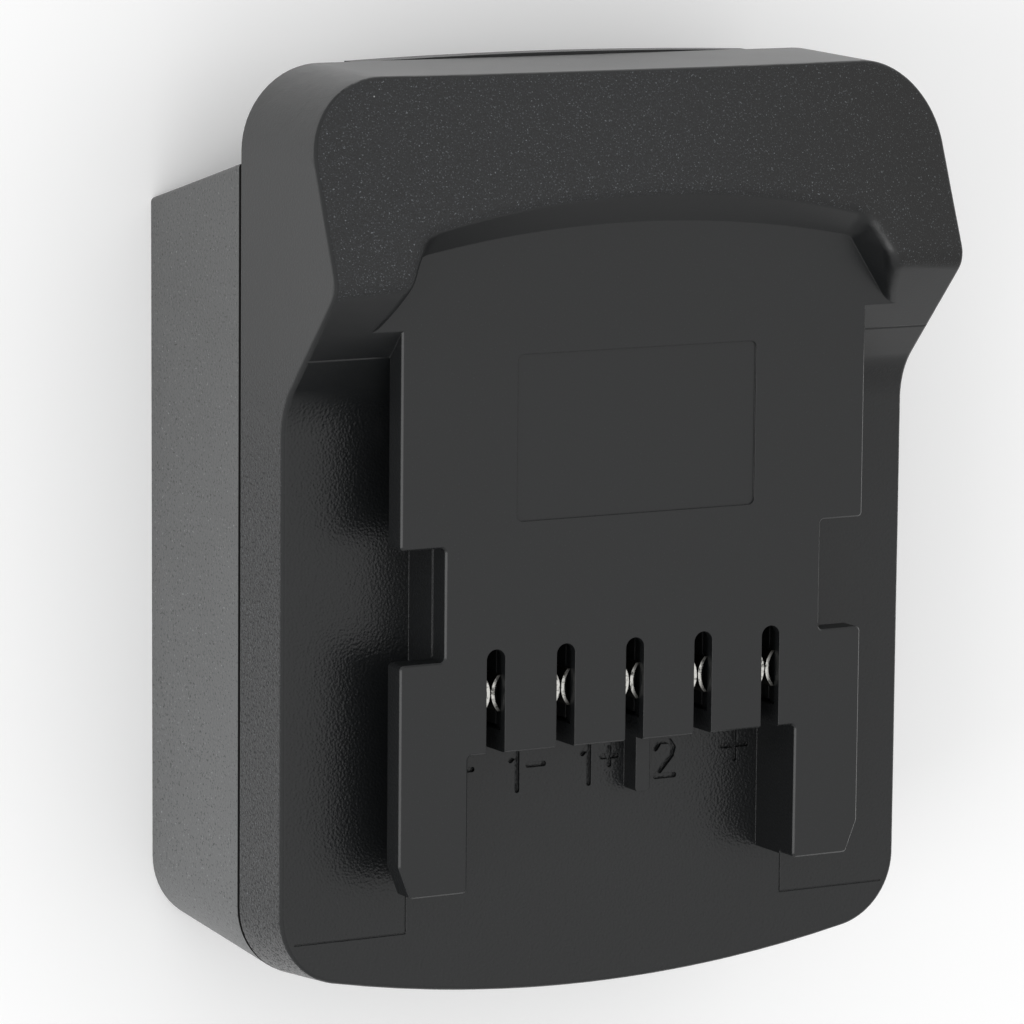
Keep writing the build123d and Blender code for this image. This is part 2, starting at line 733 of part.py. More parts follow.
block_front = receiver_end + block_gap
block_back = block_front + block_depth
tail_centre_y = block_front + block_gap + overrun / 2 + blade_tail_width / 2
board_screw_places = [
    (x_sign * (board_half - board_screw_inset), y)
    for x_sign in (-1, 1)
    for y in (board_front + board_screw_inset, board_back - board_screw_inset)
]
block_screw_x = (power_blade_x + signal_blade_x) / 2
block_screw_places = [(-block_screw_x, tail_centre_y), (block_screw_x, tail_centre_y)]
block_half = receiver_half - block_margin
block_base_z = rail_thickness + running_gap
blade_bottom = rail_thickness + blade_rise
blade_top = blade_bottom + blade_height
signal_blade_top = blade_bottom + signal_blade_height
blade_tail_top = receiver_roof + blade_tail_rise
lead_height = blade_tail_top - lead_drop
blade_places = [-power_blade_x, -signal_blade_x, signal_blade_x, power_blade_x]
head_seat_z = shell_head_sink + shell_head_height
with BuildPart() as battery_side_housing:
    add(housing_block.part)
    add(housing_hollow.part, mode=Mode.SUBTRACT)
    # Receiver for the pack: a wide channel behind two inward rails, open at the hump end.
    receiver_length = body_length - receiver_end
    with BuildSketch(Plane.XY.offset(rail_thickness)):
        with Locations((0, receiver_end)):
            Rectangle(2 * receiver_half, receiver_length, align=(Align.CENTER, Align.MIN))
    extrude(amount=receiver_height - rail_thickness, mode=Mode.SUBTRACT)
    with BuildSketch(Plane.XY.offset(-overrun)):
        with Locations((0, receiver_end)):
            Rectangle(2 * rail_inner_half, receiver_length, align=(Align.CENTER, Align.MIN))
    extrude(amount=rail_thickness + 2 * overrun, mode=Mode.SUBTRACT)
    rail_mouths = [
        e
        for e in battery_side_housing.edges()
        if abs(abs(e.center().X) - rail_inner_half) < rail_lead_in / 2
        and e.center().Y > 0
        and e.bounding_box().max.Z < rail_thickness + rail_lead_in / 2
        and e.bounding_box().size.Z > rail_thickness / 2
    ]
    chamfer(rail_mouths, rail_lead_in)
    # Screw pillars.
    with BuildSketch(Plane.XY.offset(side_box_floor)):
        with Locations(shell_screw_places):
            Circle(boss_radius)
    extrude(amount=parting_z - side_box_floor)
    # Board posts on the receiver's roof.
    with BuildSketch(Plane.XY.offset(receiver_roof)):
        with Locations(board_screw_places):
            Circle(small_boss_radius)
    extrude(amount=board_z - receiver_roof)
    # Catch for the pack's own latch: a boxed recess in the receiver's roof.
    with BuildSketch(Plane.XY.offset(receiver_height)):
        with Locations((0, catch_y)):
            Rectangle(catch_width + 2 * catch_wall, catch_length + 2 * catch_wall)
    extrude(amount=catch_depth + catch_wall)
    with BuildSketch(Plane.XY.offset(receiver_height - overrun)):
        with Locations((0, catch_y)):
            Rectangle(catch_width, catch_length)
    extrude(amount=catch_depth + overrun, mode=Mode.SUBTRACT)
    # Shelf that closes the hump from below, with the slot for the button's neck.
    add(shelf.part)
    with BuildSketch(Plane.XY.offset(parting_z - overrun)):
        neck_slot_back = neck_inner_y + neck_length + pin_fit
        neck_slot_front = neck_inner_y - release_travel - running_gap
        with Locations((0, (neck_slot_back + neck_slot_front) / 2)):
            Rectangle(2 * (neck_half + guide_fit), neck_slot_back - neck_slot_front)
    extrude(amount=shelf_thickness + 2 * overrun, mode=Mode.SUBTRACT)
    # Through slots for the blade tails and holes for the screws.
    with BuildSketch(Plane.XY.offset(receiver_height - overrun)):
        with Locations([(x, tail_centre_y) for x in blade_places]):
            Rectangle(
                blade_thickness + 2 * running_gap, blade_tail_width + 2 * running_gap
            )
        with Locations(block_screw_places):
            Circle(small_screw_radius + hole_fit)
    extrude(amount=wall + 2 * overrun, mode=Mode.SUBTRACT)
    with BuildSketch(Plane.XY.offset(board_z)):
        with Locations(board_screw_places):
            Circle(small_screw_radius + pilot_fit)
    extrude(amount=-small_screw_grip - hole_fit, mode=Mode.SUBTRACT)
    with BuildSketch():
        with Locations(shell_screw_places):
            Circle(shell_head_radius + hole_fit)
    extrude(amount=head_seat_z, mode=Mode.SUBTRACT)
    with BuildSketch(Plane.XY.offset(head_seat_z)):
        with Locations(shell_screw_places):
            Circle(shell_screw_radius + hole_fit)
    extrude(amount=parting_z + overrun, mode=Mode.SUBTRACT)
    battery_side_housing.part.label = "battery_side_housing"

# Release button: a crowned pad on the back of the shelf, with a neck and two stakes.
button_back_y = top_y + button_proud
button_z = parting_z - running_gap - button_thickness
stake_y = neck_inner_y + neck_length / 2
with BuildPart() as release_button:
    with BuildSketch(Plane.XY.offset(button_z)) as pad_plan:
        with BuildLine():
            ThreePointArc(
                (-button_half, button_back_y - button_crown),
                (0, button_back_y),
                (button_half, button_back_y - button_crown),
            )
            Polyline(
                (button_half, button_back_y - button_crown),
                (button_half, button_inner_y),
                (-button_half, button_inner_y),
                (-button_half, button_back_y - button_crown),
            )
        make_face()
        fillet(pad_plan.vertices().group_by(Axis.Y)[0], button_corner_radius)
    extrude(amount=button_thickness)
    with BuildSketch(Plane.XY.offset(button_z)):
        grip_span = grip_pitch * (grip_count - 1)
        with Locations((0, button_inner_y + button_corner_radius + grip_span / 2)):
            with GridLocations(0, grip_pitch, 1, grip_count):
                Rectangle(2 * (button_half - overrun), grip_pitch / 2)
    extrude(amount=grip_depth, mode=Mode.SUBTRACT)
    with BuildSketch(Plane.XY.offset(button_z + button_thickness)):
        with Locations((0, stake_y)):
            Rectangle(2 * neck_half, neck_length)
    extrude(amount=slide_z - button_z - button_thickness)
    with BuildSketch(Plane.XY.offset(slide_z)):
        with Locations((-stake_x, stake_y), (stake_x, stake_y)):
            Circle(stake_radius)
    extrude(amount=slide_thickness + stake_head_height)
    with BuildSketch(Plane.XY.offset(slide_top)):
        with Locations((-stake_x, stake_y), (stake_x, stake_y)):
            Circle(stake_head_radius)
    extrude(amount=stake_head_height)
    release_button.part.label = "release_button"

# Latch slide: flat plate with two oblique cam slots and two spring shoulders.
cam_run = release_travel + 2 * pin_fit
cam_centre_x = pin_x - release_travel / 2
cam_centre_y = lug_y + release_travel / 2
with BuildPart() as latch_slide:
    with BuildSketch(Plane.XY.offset(slide_z)) as slide_plan:
        with Locations((0, (cam_head_front + slide_end_y) / 2)):
            Rectangle(2 * slide_half, slide_end_y - cam_head_front)
        with Locations((0, (cam_head_front + cam_head_back) / 2)):
            Rectangle(2 * cam_head_half, cam_head_back - cam_head_front)
        with Locations((0, shoulder_y + shoulder_length / 2)):
            Rectangle(2 * shoulder_outer, shoulder_length)
        fillet(slide_plan.vertices().group_by(Axis.Y)[0], slide_corner_radius)
        with Locations((-stake_x, stake_y), (stake_x, stake_y)):
            Circle(stake_radius + stake_fit, mode=Mode.SUBTRACT)
        with Locations((cam_centre_x, cam_centre_y)):
            SlotCenterToCenter(
                cam_run * sqrt(2), 2 * (pin_radius + pin_fit), rotation=135, mode=Mode.SUBTRACT
            )
        with Locations((-cam_centre_x, cam_centre_y)):
            SlotCenterToCenter(
                cam_run * sqrt(2), 2 * (pin_radius + pin_fit), rotation=45, mode=Mode.SUBTRACT
            )
    extrude(amount=slide_thickness)
    with BuildSketch(Plane.XY.offset(slide_z)):
        with Locations((-spring_x, shoulder_y), (spring_x, shoulder_y)):
            Rectangle(seat_width, shoulder_length, align=(Align.CENTER, Align.MIN))
    extrude(amount=shoulder_height)
    with BuildSketch(Plane.XZ.offset(-shoulder_y)):
        with Locations((-spring_x, spring_z), (spring_x, spring_z)):
            Circle(spigot_radius)
    extrude(amount=spigot_length)
    latch_slide.part.label = "latch_slide"

# Latch lugs: wedge-nosed blocks that stand out of the web, each with a pin for its cam slot.
lug_tip_x = web_half + lug_reach
with BuildPart() as latch_lug_right:
    with BuildSketch(Plane.XY.offset(lug_z)):
        with BuildLine():
            Polyline(
                (lug_inner_x, lug_y - lug_width / 2),
                (lug_tip_x - lug_lead_in, lug_y - lug_width / 2),
                (lug_tip_x, lug_y - lug_width / 2 + lug_lead_length),
                (lug_tip_x, lug_y + lug_width / 2),
                (lug_inner_x, lug_y + lug_width / 2),
                close=True,
            )
        make_face()
    extrude(amount=lug_height)
    with BuildSketch(Plane.XY.offset(lug_z)):
        with Locations((pin_x, lug_y)):
            Circle(pin_radius)
    extrude(amount=-(lug_z - slide_z + pin_overhang))
    latch_lug_right.part.label = "latch_lug_right"

with BuildPart() as latch_lug_left:
    add(latch_lug_right.part)
    mirror(about=Plane.YZ, mode=Mode.REPLACE)
    latch_lug_left.part.label = "latch_lug_left"

# Latch plate: carries the lugs from below and guides them between upstanding ribs.
with BuildPart() as latch_plate:
    plate_centre_y = (latch_plate_front + latch_plate_back) / 2
    with BuildSketch(Plane.XY.offset(latch_plate_z)):
        with Locations((0, plate_centre_y)):
            Rectangle(2 * latch_plate_half, latch_plate_back - latch_plate_front)
    extrude(amount=latch_plate_thickness)
    rib_offset = lug_width / 2 + guide_fit + latch_rib / 2
    with BuildSketch(Plane.XY.offset(latch_plate_top)):
        for x_sign in (-1, 1):
            for y_sign in (-1, 1):
                rib_x = x_sign * (latch_rib_inner + latch_plate_half) / 2
                with Locations((rib_x, lug_y + y_sign * rib_offset)):
                    Rectangle(latch_plate_half - latch_rib_inner, latch_rib)
    extrude(amount=ceiling_z - running_gap - latch_plate_top)
    with BuildSketch(Plane.XY.offset(latch_plate_z)):
        slot_in = pin_x - release_travel
        for x_sign in (-1, 1):
            with Locations((x_sign * (pin_x + slot_in) / 2, lug_y)):
                SlotCenterToCenter(pin_x - slot_in, 2 * (pin_radius + running_gap))
        with Locations(latch_screw_places):
            Circle(small_screw_radius + hole_fit)
    extrude(amount=latch_plate_thickness, mode=Mode.SUBTRACT)
    latch_plate.part.label = "latch_plate"

# Return springs: between the cover's seats and the slide's shoulders.
with BuildPart() as return_springs:
    with BuildSketch(Plane.XZ.offset(-spring_seat_y)):
        with Locations((-spring_x, spring_z), (spring_x, spring_z)):
            Circle(spring_radius + spring_wire / 2)
            Circle(spring_radius - spring_wire / 2, mode=Mode.SUBTRACT)
    extrude(amount=-spring_length)
    return_springs.part.label = "return_springs"

# Contact carrier: five open-fronted pockets and two screw ears.
carrier_front = step_y + wall + running_gap
carrier_top = ceiling_z - running_gap
pocket_floor_z = clip_base_z
with BuildPart() as contact_carrier:
    with BuildSketch(Plane.XY.offset(carrier_base_z)):
        with Locations((0, (carrier_front + carrier_back) / 2)):
            Rectangle(2 * carrier_half, carrier_back - carrier_front)
    extrude(amount=carrier_top - carrier_base_z)
    with BuildSketch(Plane.XY.offset(ear_z)):
        with Locations(ear_screw_places):
            Rectangle(2 * small_boss_radius + wall, ear_depth)
    extrude(amount=ear_thickness)
    with BuildSketch(Plane.XY.offset(pocket_floor_z)):
        with Locations([(x, pocket_back) for x in slot_places]):
            Rectangle(
                2 * pocket_half, pocket_back - carrier_front + overrun,
                align=(Align.CENTER, Align.MAX),
            )
    extrude(amount=carrier_top - pocket_floor_z, mode=Mode.SUBTRACT)
    with BuildSketch(Plane.XY.offset(carrier_base_z)):
        with Locations([(x, tail_y) for x in slot_places]):
            Rectangle(tail_width + 2 * pocket_fit, tail_thickness + 2 * pocket_fit)
        with Locations(ear_screw_places):
            Circle(small_screw_radius + hole_fit)
    extrude(amount=carrier_top - carrier_base_z, mode=Mode.SUBTRACT)
    contact_carrier.part.label = "contact_carrier"


def contact_clip(centre_x, tail_bottom):
    """One clip: two leaves with beads that almost meet, a base strip and a solder tail."""
    inner = clip_gap + clip_spread
    outer = inner + clip_thickness
    with BuildPart() as clip:
        # The beads stand up to the slot; the flat leaves before and behind them stay lower.
        for front, back, height in (
            (bead_half, bead_half, clip_top - clip_base_z),
            (leaf_front, leaf_back, clip_top - leaf_drop - clip_base_z),
        ):
            with BuildSketch(Plane(origin=(centre_x, clip_y, clip_base_z))):
                with BuildLine():
                    if back > bead_half:
                        Line((inner, bead_half), (inner, back))
                        Line((outer, back), (outer, bead_half))
                        Line((inner, -front), (inner, -bead_half))
                        Line((outer, -bead_half), (outer, -front))
                    Line((inner, back), (outer, back))
                    Line((outer, -front), (inner, -front))
                    ThreePointArc((inner, -bead_half), (clip_gap, 0), (inner, bead_half))
                    ThreePointArc(
                        (outer, bead_half), (clip_gap + clip_thickness, 0), (outer, -bead_half)
                    )
                make_face()
                mirror(about=Plane.YZ)
            extrude(amount=height)
        with BuildSketch(Plane(origin=(centre_x, clip_y, clip_base_z))):
            with Locations((0, (leaf_back - leaf_front) / 2)):
                Rectangle(2 * outer, leaf_front + leaf_back)
        extrude(amount=clip_base_thickness)
        with BuildSketch(Plane(origin=(centre_x, tail_y, tail_bottom))):
            Rectangle(tail_width, tail_thickness)
        extrude(amount=clip_base_z - tail_bottom)
    return clip.part


power_tail_bottom = clip_base_z - power_tail_drop
board_top = board_z + board_thickness
clip_names = ["clip_negative", "clip_2", "clip_3", "clip_4", "clip_positive"]
clips = []
for name, x in zip(clip_names, slot_places):
    ends_at_power = name in ("clip_negative", "clip_positive")
    clip = contact_clip(x, power_tail_bottom if ends_at_power else board_z)
    clip.label = name
    clips.append(clip)

# Circuit board on four posts, with the clip tails through its holes.
board_centre_y = (board_front + board_back) / 2
with BuildPart() as circuit_board:
    with BuildSketch(Plane.XY.offset(board_z)):
        with Locations((0, board_centre_y)):
            Rectangle(2 * board_half, board_back - board_front)
        with Locations([(x, tail_y) for x in slot_places[1:-1]]):
            Circle(board_hole_radius, mode=Mode.SUBTRACT)
        with Locations(board_screw_places):
            Circle(small_screw_radius + hole_fit, mode=Mode.SUBTRACT)
    extrude(amount=board_thickness)
    circuit_board.part.label = "circuit_board"

chip_y = board_back - board_screw_inset - chip_width
with BuildPart() as control_chip:
    with BuildSketch(Plane.XY.offset(board_top)):
        with Locations((slot_pitch / 2, chip_y)):
            Rectangle(chip_length, chip_width)
    extrude(amount=chip_height)
    chamfer(control_chip.edges().group_by(Axis.Z)[-1], chip_height / 4)
    control_chip.part.label = "control_chip"

with BuildPart() as board_fuse:
    with BuildSketch(Plane.XY.offset(board_top)):
        with Locations((slot_pitch / 2, board_front + fuse_setback)):
            Rectangle(fuse_length, fuse_width)
    extrude(amount=fuse_height)
    fillet(board_fuse.edges().filter_by(Axis.X).group_by(Axis.Z)[-1], fuse_height / 4)
    board_fuse.part.label = "board_fuse"

with BuildPart() as board_capacitor:
    with BuildSketch(Plane.XY.offset(board_top)):
        with Locations((-slot_pitch / 2, tail_y + capacitor_offset)):
            Circle(capacitor_radius)
    extrude(amount=capacitor_length)
    chamfer(board_capacitor.edges().group_by(Axis.Z)[-1], capacitor_radius / 8)
    board_capacitor.part.label = "board_capacitor"


def blade_plan(top, fit):
    """Side view of a blade: contact tongue with a pointed nose and an upright tail."""
    tail_front = tail_centre_y - blade_tail_width / 2 - fit
    tail_back = tail_centre_y + blade_tail_width / 2 + fit
    nose = block_back + blade_length
    with BuildSketch(Plane.YZ) as flat:
        with BuildLine():
            Polyline(
                (tail_front, blade_bottom - fit),
                (nose - blade_nose, blade_bottom - fit),
                (nose, blade_bottom + blade_nose),
                (nose, top - blade_nose),
                (nose - blade_nose, top + fit),
                (tail_back, top + fit),
                (tail_back, blade_tail_top),
                (tail_front, blade_tail_top),
                close=True,
            )
        make_face()
    return flat.sketch


def blade(centre_x, top, fit):
    """A blade, or with a fit the cutter for its seat."""
    with BuildPart() as tongue:
        extrude(blade_plan(top, fit), amount=blade_thickness / 2 + fit, both=True)
    return Pos(centre_x, 0, 0) * tongue.part


with BuildPart() as terminal_block:
    with BuildSketch(Plane.XY.offset(block_base_z)):
        with Locations((0, (block_front + block_back) / 2)):
            Rectangle(2 * block_half, block_depth)
    extrude(amount=receiver_height - block_base_z)
    for x in blade_places:
        top = blade_top if abs(x) == power_blade_x else signal_blade_top
        add(blade(x, top, blade_fit), mode=Mode.SUBTRACT)
    with BuildSketch(Plane.XY.offset(receiver_height)):
        with Locations(block_screw_places):
            Circle(small_screw_radius + pilot_fit)
    extrude(amount=-small_screw_grip - hole_fit, mode=Mode.SUBTRACT)
    terminal_block.part.label = "terminal_block"

blade_negative = blade(-power_blade_x, blade_top, 0)
blade_positive = blade(power_blade_x, blade_top, 0)
blade_signal_left = blade(-signal_blade_x, signal_blade_top, 0)
blade_signal_right = blade(signal_blade_x, signal_blade_top, 0)
blade_negative.label = "blade_negative"
blade_positive.label = "blade_positive"
blade_signal_left.label = "blade_signal_left"
blade_signal_right.label = "blade_signal_right"

# Leads: power leads from the outer blades to the outer clips, signal leads to the board.
lead_start_y = tail_centre_y + blade_tail_width / 2
clip_tail_face = tail_y - tail_thickness / 2
power_lead_z = power_tail_bottom + power_lead_radius
outer_clip_x = slot_places[-1]


def lead(points, bend_radius, radius):
    """A round lead along straight runs joined by tangent arcs."""
    with BuildPart() as wire:
        with BuildLine() as route:
            FilletPolyline(*points, radius=bend_radius)
        with BuildSketch(Plane(origin=points[0], z_dir=route.line % 0)):
            Circle(radius)
        sweep()
    return wire.part


power_points = [
    (power_blade_x, lead_start_y, lead_height),
    (power_blade_x, lead_start_y + lead_straight, lead_height),
    (outer_clip_x, clip_tail_face - lead_straight, power_lead_z),
    (outer_clip_x, clip_tail_face, power_lead_z),
]
lead_positive = lead(power_points, lead_bend_radius, power_lead_radius)
lead_positive.label = "lead_positive"
lead_negative = mirror(lead_positive, about=Plane.YZ)
lead_negative.label = "lead_negative"

board_middle_z = board_z + board_thickness / 2
signal_straight = (board_front - lead_start_y) / 3
signal_points = [
    (signal_blade_x, lead_start_y, lead_height),
    (signal_blade_x, lead_start_y + signal_straight, lead_height),
    (signal_blade_x, board_front - signal_straight, board_middle_z),
    (signal_blade_x, board_front, board_middle_z),
]
signal_lead = lead(signal_points, signal_bend_radius, signal_lead_radius)
with BuildPart() as signal_leads:
    add(signal_lead)
    mirror(about=Plane.YZ)
    signal_leads.part.label = "signal_leads"


def screws(places, seat_z, reach, radius, head_radius, head_height):
    """Pan-head screws standing at these places, heads down, with a cross recess."""
    with BuildPart() as group:
        with BuildSketch(Plane.XY.offset(seat_z)):
            with Locations(places):
                Circle(radius)
        extrude(amount=reach)
        with BuildSketch(Plane.XY.offset(seat_z)):
            with Locations(places):
                Circle(head_radius)
        extrude(amount=-head_height)
        with BuildSketch(Plane.XY.offset(seat_z - head_height)):
            with Locations(places):
                Rectangle(head_radius, cross_width)
                Rectangle(cross_width, head_radius)
        extrude(amount=cross_depth, mode=Mode.SUBTRACT)
    return group.part


shell_reach = parting_z + shell_screw_grip - head_seat_z
housing_screws = screws(
    shell_screw_places, head_seat_z, shell_reach, shell_screw_radius, shell_head_radius,
    shell_head_height,
)
housing_screws.label = "housing_screws"
carrier_screws = screws(
    ear_screw_places, ear_z, ear_thickness + small_screw_grip, small_screw_radius,
    small_head_radius, small_head_height,
)
carrier_screws.label = "carrier_screws"
latch_plate_screws = screws(
    latch_screw_places, latch_plate_z, latch_plate_thickness + small_screw_grip,
    small_screw_radius, small_head_radius, small_head_height,
)
latch_plate_screws.label = "latch_plate_screws"
board_screws = mirror(
    screws(
        board_screw_places, -board_top, board_thickness + small_screw_grip,
        small_screw_radius, small_head_radius, small_head_height,
    ),
    about=Plane.XY,
)
board_screws.label = "board_screws"
block_screws = mirror(
    screws(
        block_screw_places, -receiver_roof, wall + small_screw_grip, small_screw_radius,
        small_head_radius, small_head_height,
    ),
    about=Plane.XY,
)
block_screws.label = "block_screws"

# Write one file for each piece.
pieces = [
    tool_side_cover.part, battery_side_housing.part, release_button.part, latch_slide.part,
    latch_lug_left.part, latch_lug_right.part, latch_plate.part, return_springs.part,
    contact_carrier.part, *clips, circuit_board.part, control_chip.part, board_fuse.part,
    board_capacitor.part, terminal_block.part, blade_negative, blade_positive,
    blade_signal_left, blade_signal_right, lead_negative, lead_positive, signal_leads.part,
    housing_screws, carrier_screws, latch_plate_screws, board_screws, block_screws,
]
os.makedirs("parts", exist_ok=True)
for piece in pieces:
    export_step(piece, f"parts/{piece.label}.step")
print(f"power lead bends {lead_bend_radius} mm, signal lead bends {signal_bend_radius} mm")
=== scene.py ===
import json
from math import atan2, pi, radians

import bmesh
import bpy
from mathutils import Matrix, Vector

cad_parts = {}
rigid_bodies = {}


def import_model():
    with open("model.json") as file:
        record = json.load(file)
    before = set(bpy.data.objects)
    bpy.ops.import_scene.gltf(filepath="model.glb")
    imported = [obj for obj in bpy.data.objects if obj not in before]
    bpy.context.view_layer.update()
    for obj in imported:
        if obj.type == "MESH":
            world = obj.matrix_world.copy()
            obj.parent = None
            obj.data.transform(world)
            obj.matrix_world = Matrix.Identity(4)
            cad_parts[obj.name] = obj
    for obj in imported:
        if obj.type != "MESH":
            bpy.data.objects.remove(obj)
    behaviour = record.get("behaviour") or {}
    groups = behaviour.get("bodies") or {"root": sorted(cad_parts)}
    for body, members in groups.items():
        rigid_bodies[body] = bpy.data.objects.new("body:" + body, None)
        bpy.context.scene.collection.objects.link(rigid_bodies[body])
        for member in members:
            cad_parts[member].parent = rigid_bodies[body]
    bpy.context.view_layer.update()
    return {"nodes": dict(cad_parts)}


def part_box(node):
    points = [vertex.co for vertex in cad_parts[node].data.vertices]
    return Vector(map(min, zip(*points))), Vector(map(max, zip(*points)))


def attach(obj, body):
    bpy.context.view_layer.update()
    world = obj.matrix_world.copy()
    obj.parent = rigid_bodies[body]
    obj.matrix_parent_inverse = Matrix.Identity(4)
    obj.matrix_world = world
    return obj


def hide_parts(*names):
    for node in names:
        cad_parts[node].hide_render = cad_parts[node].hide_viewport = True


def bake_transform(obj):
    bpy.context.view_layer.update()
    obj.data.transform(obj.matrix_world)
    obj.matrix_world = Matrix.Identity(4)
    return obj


# The start file's own cube, lamp and camera go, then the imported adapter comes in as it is.
for leftover in list(bpy.data.objects):
    bpy.data.objects.remove(leftover)
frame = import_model()
nodes = frame["nodes"]
scene = bpy.context.scene
mm = 0.001


# The view of the photograph.
# A long lens a little over 0.6 m off, looking down on the adapter as it lies on its rim.
# Its place and turn were worked out from the corners that the photograph shows.
lens = bpy.data.cameras.new("photograph_lens")
lens.lens = 210.744
lens.sensor_width = 36.0
lens.clip_start = 0.01
camera = bpy.data.objects.new("photograph_camera", lens)
right = Vector((0.87125757, 0.00900254, 0.49074353))
up = Vector((0.0650161, 0.98890448, -0.1335696))
back = Vector((-0.48650094, 0.14827975, 0.8610052))
stand = Vector((-314.069, 95.167, 567.468)) * mm
camera.matrix_world = Matrix((
    (right.x, up.x, back.x, stand.x),
    (right.y, up.y, back.y, stand.y),
    (right.z, up.z, back.z, stand.z),
    (0, 0, 0, 1),
))
scene.collection.objects.link(camera)
scene.camera = camera
scene.view_settings.view_transform = "Standard"


# The studio: a white table, soft light from above and from the left, and one soft box.
# The table is matt white board, and keeps the adapter's soft shadow.
# The light is level enough that a colour comes out about as it is written.
def linear(code):
    """Turns an sRGB hex colour into the linear colour that a shader takes."""
    parts = [int(code[place:place + 2], 16) / 255 for place in (1, 3, 5)]
    shades = [p / 12.92 if p <= 0.04045 else ((p + 0.055) / 1.055) ** 2.4 for p in parts]
    return (*shades, 1.0)


def add(tree, kind, values=None, wires=None, **settings):
    """Adds one shader node with its settings, socket values and incoming wires."""
    node = tree.nodes.new("ShaderNode" + kind)
    for name, setting in settings.items():
        setattr(node, name, setting)
    for name, value in (values or {}).items():
        node.inputs[name].default_value = value
    for name, source in (wires or {}).items():
        tree.links.new(source, node.inputs[name])
    return node


def blank_finish(name):
    """Makes a material with no nodes yet, and gives it with its node tree."""
    finish = bpy.data.materials.new(name)
    finish.use_nodes = True
    finish.node_tree.nodes.clear()
    return finish, finish.node_tree


world = bpy.data.worlds.new("studio_air")
world.use_nodes = True
scene.world = world
air = world.node_tree
air.nodes.clear()
way = add(air, "TexCoord").outputs["Generated"]
overhead = add(air, "VectorMath", {1: Vector((-0.3, 0.25, 0.92)).normalized()}, {0: way},
               operation="DOT_PRODUCT")
fall = add(air, "MapRange", {"From Min": 0.2, "From Max": 0.62, "To Min": 0.62, "To Max": 1.0},
           {"Value": overhead.outputs["Value"]}, interpolation_type="SMOOTHSTEP")
glow = add(air, "Background", {"Color": linear("#FBFBFB")}, {"Strength": fall.outputs[0]})
add(air, "OutputWorld", wires={"Surface": glow.outputs["Background"]})

table_half = 2.5
table_drop = 0.02 * mm
table_mesh = bpy.data.meshes.new("table_top")
shape = bmesh.new()
bmesh.ops.create_grid(shape, x_segments=4, y_segments=4, size=table_half)
bmesh.ops.translate(shape, vec=(0, 0, -table_drop), verts=shape.verts)
shape.to_mesh(table_mesh)
shape.free()
table = bpy.data.objects.new("table_top", table_mesh)
scene.collection.objects.link(table)
# Matt white board: it looks plain white, and lights the adapter a little less than it looks.
board_white, tree = blank_finish("matt_white_board")
ray = add(tree, "LightPath")
seen = add(tree, "Math", wires={0: ray.outputs["Is Camera Ray"], 1: ray.outputs["Is Glossy Ray"]},
           operation="MAXIMUM")
seen_all = add(tree, "Math", wires={0: seen.outputs[0], 1: ray.outputs["Is Transmission Ray"]},
               operation="MAXIMUM")
matt = add(tree, "BsdfDiffuse", {"Color": linear("#F4F4F4")})
bright = add(tree, "BsdfDiffuse", {"Color": linear("#FFFFFF")})
lift = add(tree, "Emission", {"Color": linear("#FFFFFF"), "Strength": 0.06})
paper = add(tree, "AddShader", wires={0: bright.outputs[0], 1: lift.outputs[0]})
mixed = add(tree, "MixShader", wires={0: seen_all.outputs[0], 1: matt.outputs[0], 2: paper.outputs[0]})
add(tree, "OutputMaterial", wires={"Surface": mixed.outputs[0]})
table_mesh.materials.append(board_white)

soft_box = bpy.data.lights.new("soft_box", "AREA")
soft_box.shape = "RECTANGLE"
soft_box.size = 0.5
soft_box.size_y = 0.9
soft_box.energy = 3.6
box_stand = bpy.data.objects.new("soft_box", soft_box)
box_stand.location = (-1.1, -0.2, 0.62)
aim = Vector((0, 0, 0.02)) - box_stand.location
box_stand.rotation_euler = aim.to_track_quat("-Z", "Y").to_euler()
scene.collection.objects.link(box_stand)


# Tool side cover: the half that the tool's foot slides over, with its hump, deck and legs.
# One shot of black glass-filled nylon, out of a mould whose cavity was spark-eroded.
# The sparks left a coarse grit on the hump, leather on the tray and sides, satin on the deck.
def dress(finish, *names):
    """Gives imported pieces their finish."""
    for name in names:
        nodes[name].data.materials.clear()
        nodes[name].data.materials.append(finish)


# Spark-eroded nylon: near black, with glints and shade painted on its grit, a grainy tray and smooth deck.
cover_nylon, tree = blank_finish("spark_eroded_nylon_cover")
crown_foot, crown_full = 39.6 * mm, 40.6 * mm
tray_level, tray_over = 31 * mm, 32 * mm
hump_foot, side_full = 22 * mm, 5 * mm
side_half = 33 * mm
grit_size, leather_size, satin_size, pit_size = 0.18 * mm, 0.27 * mm, 0.2 * mm, 0.3 * mm
edge_round, skin_depth = 0.14 * mm, 0.045 * mm
cloud_size, mote_gap = 11 * mm, 9 * mm
slots_half, slots_middle, slots_reach = 18.6 * mm, -15.8 * mm, 8 * mm
place = add(tree, "TexCoord").outputs["Object"]
spot = add(tree, "SeparateXYZ", wires={0: place})
faces = add(tree, "SeparateXYZ", wires={0: add(tree, "NewGeometry").outputs["Normal"]})
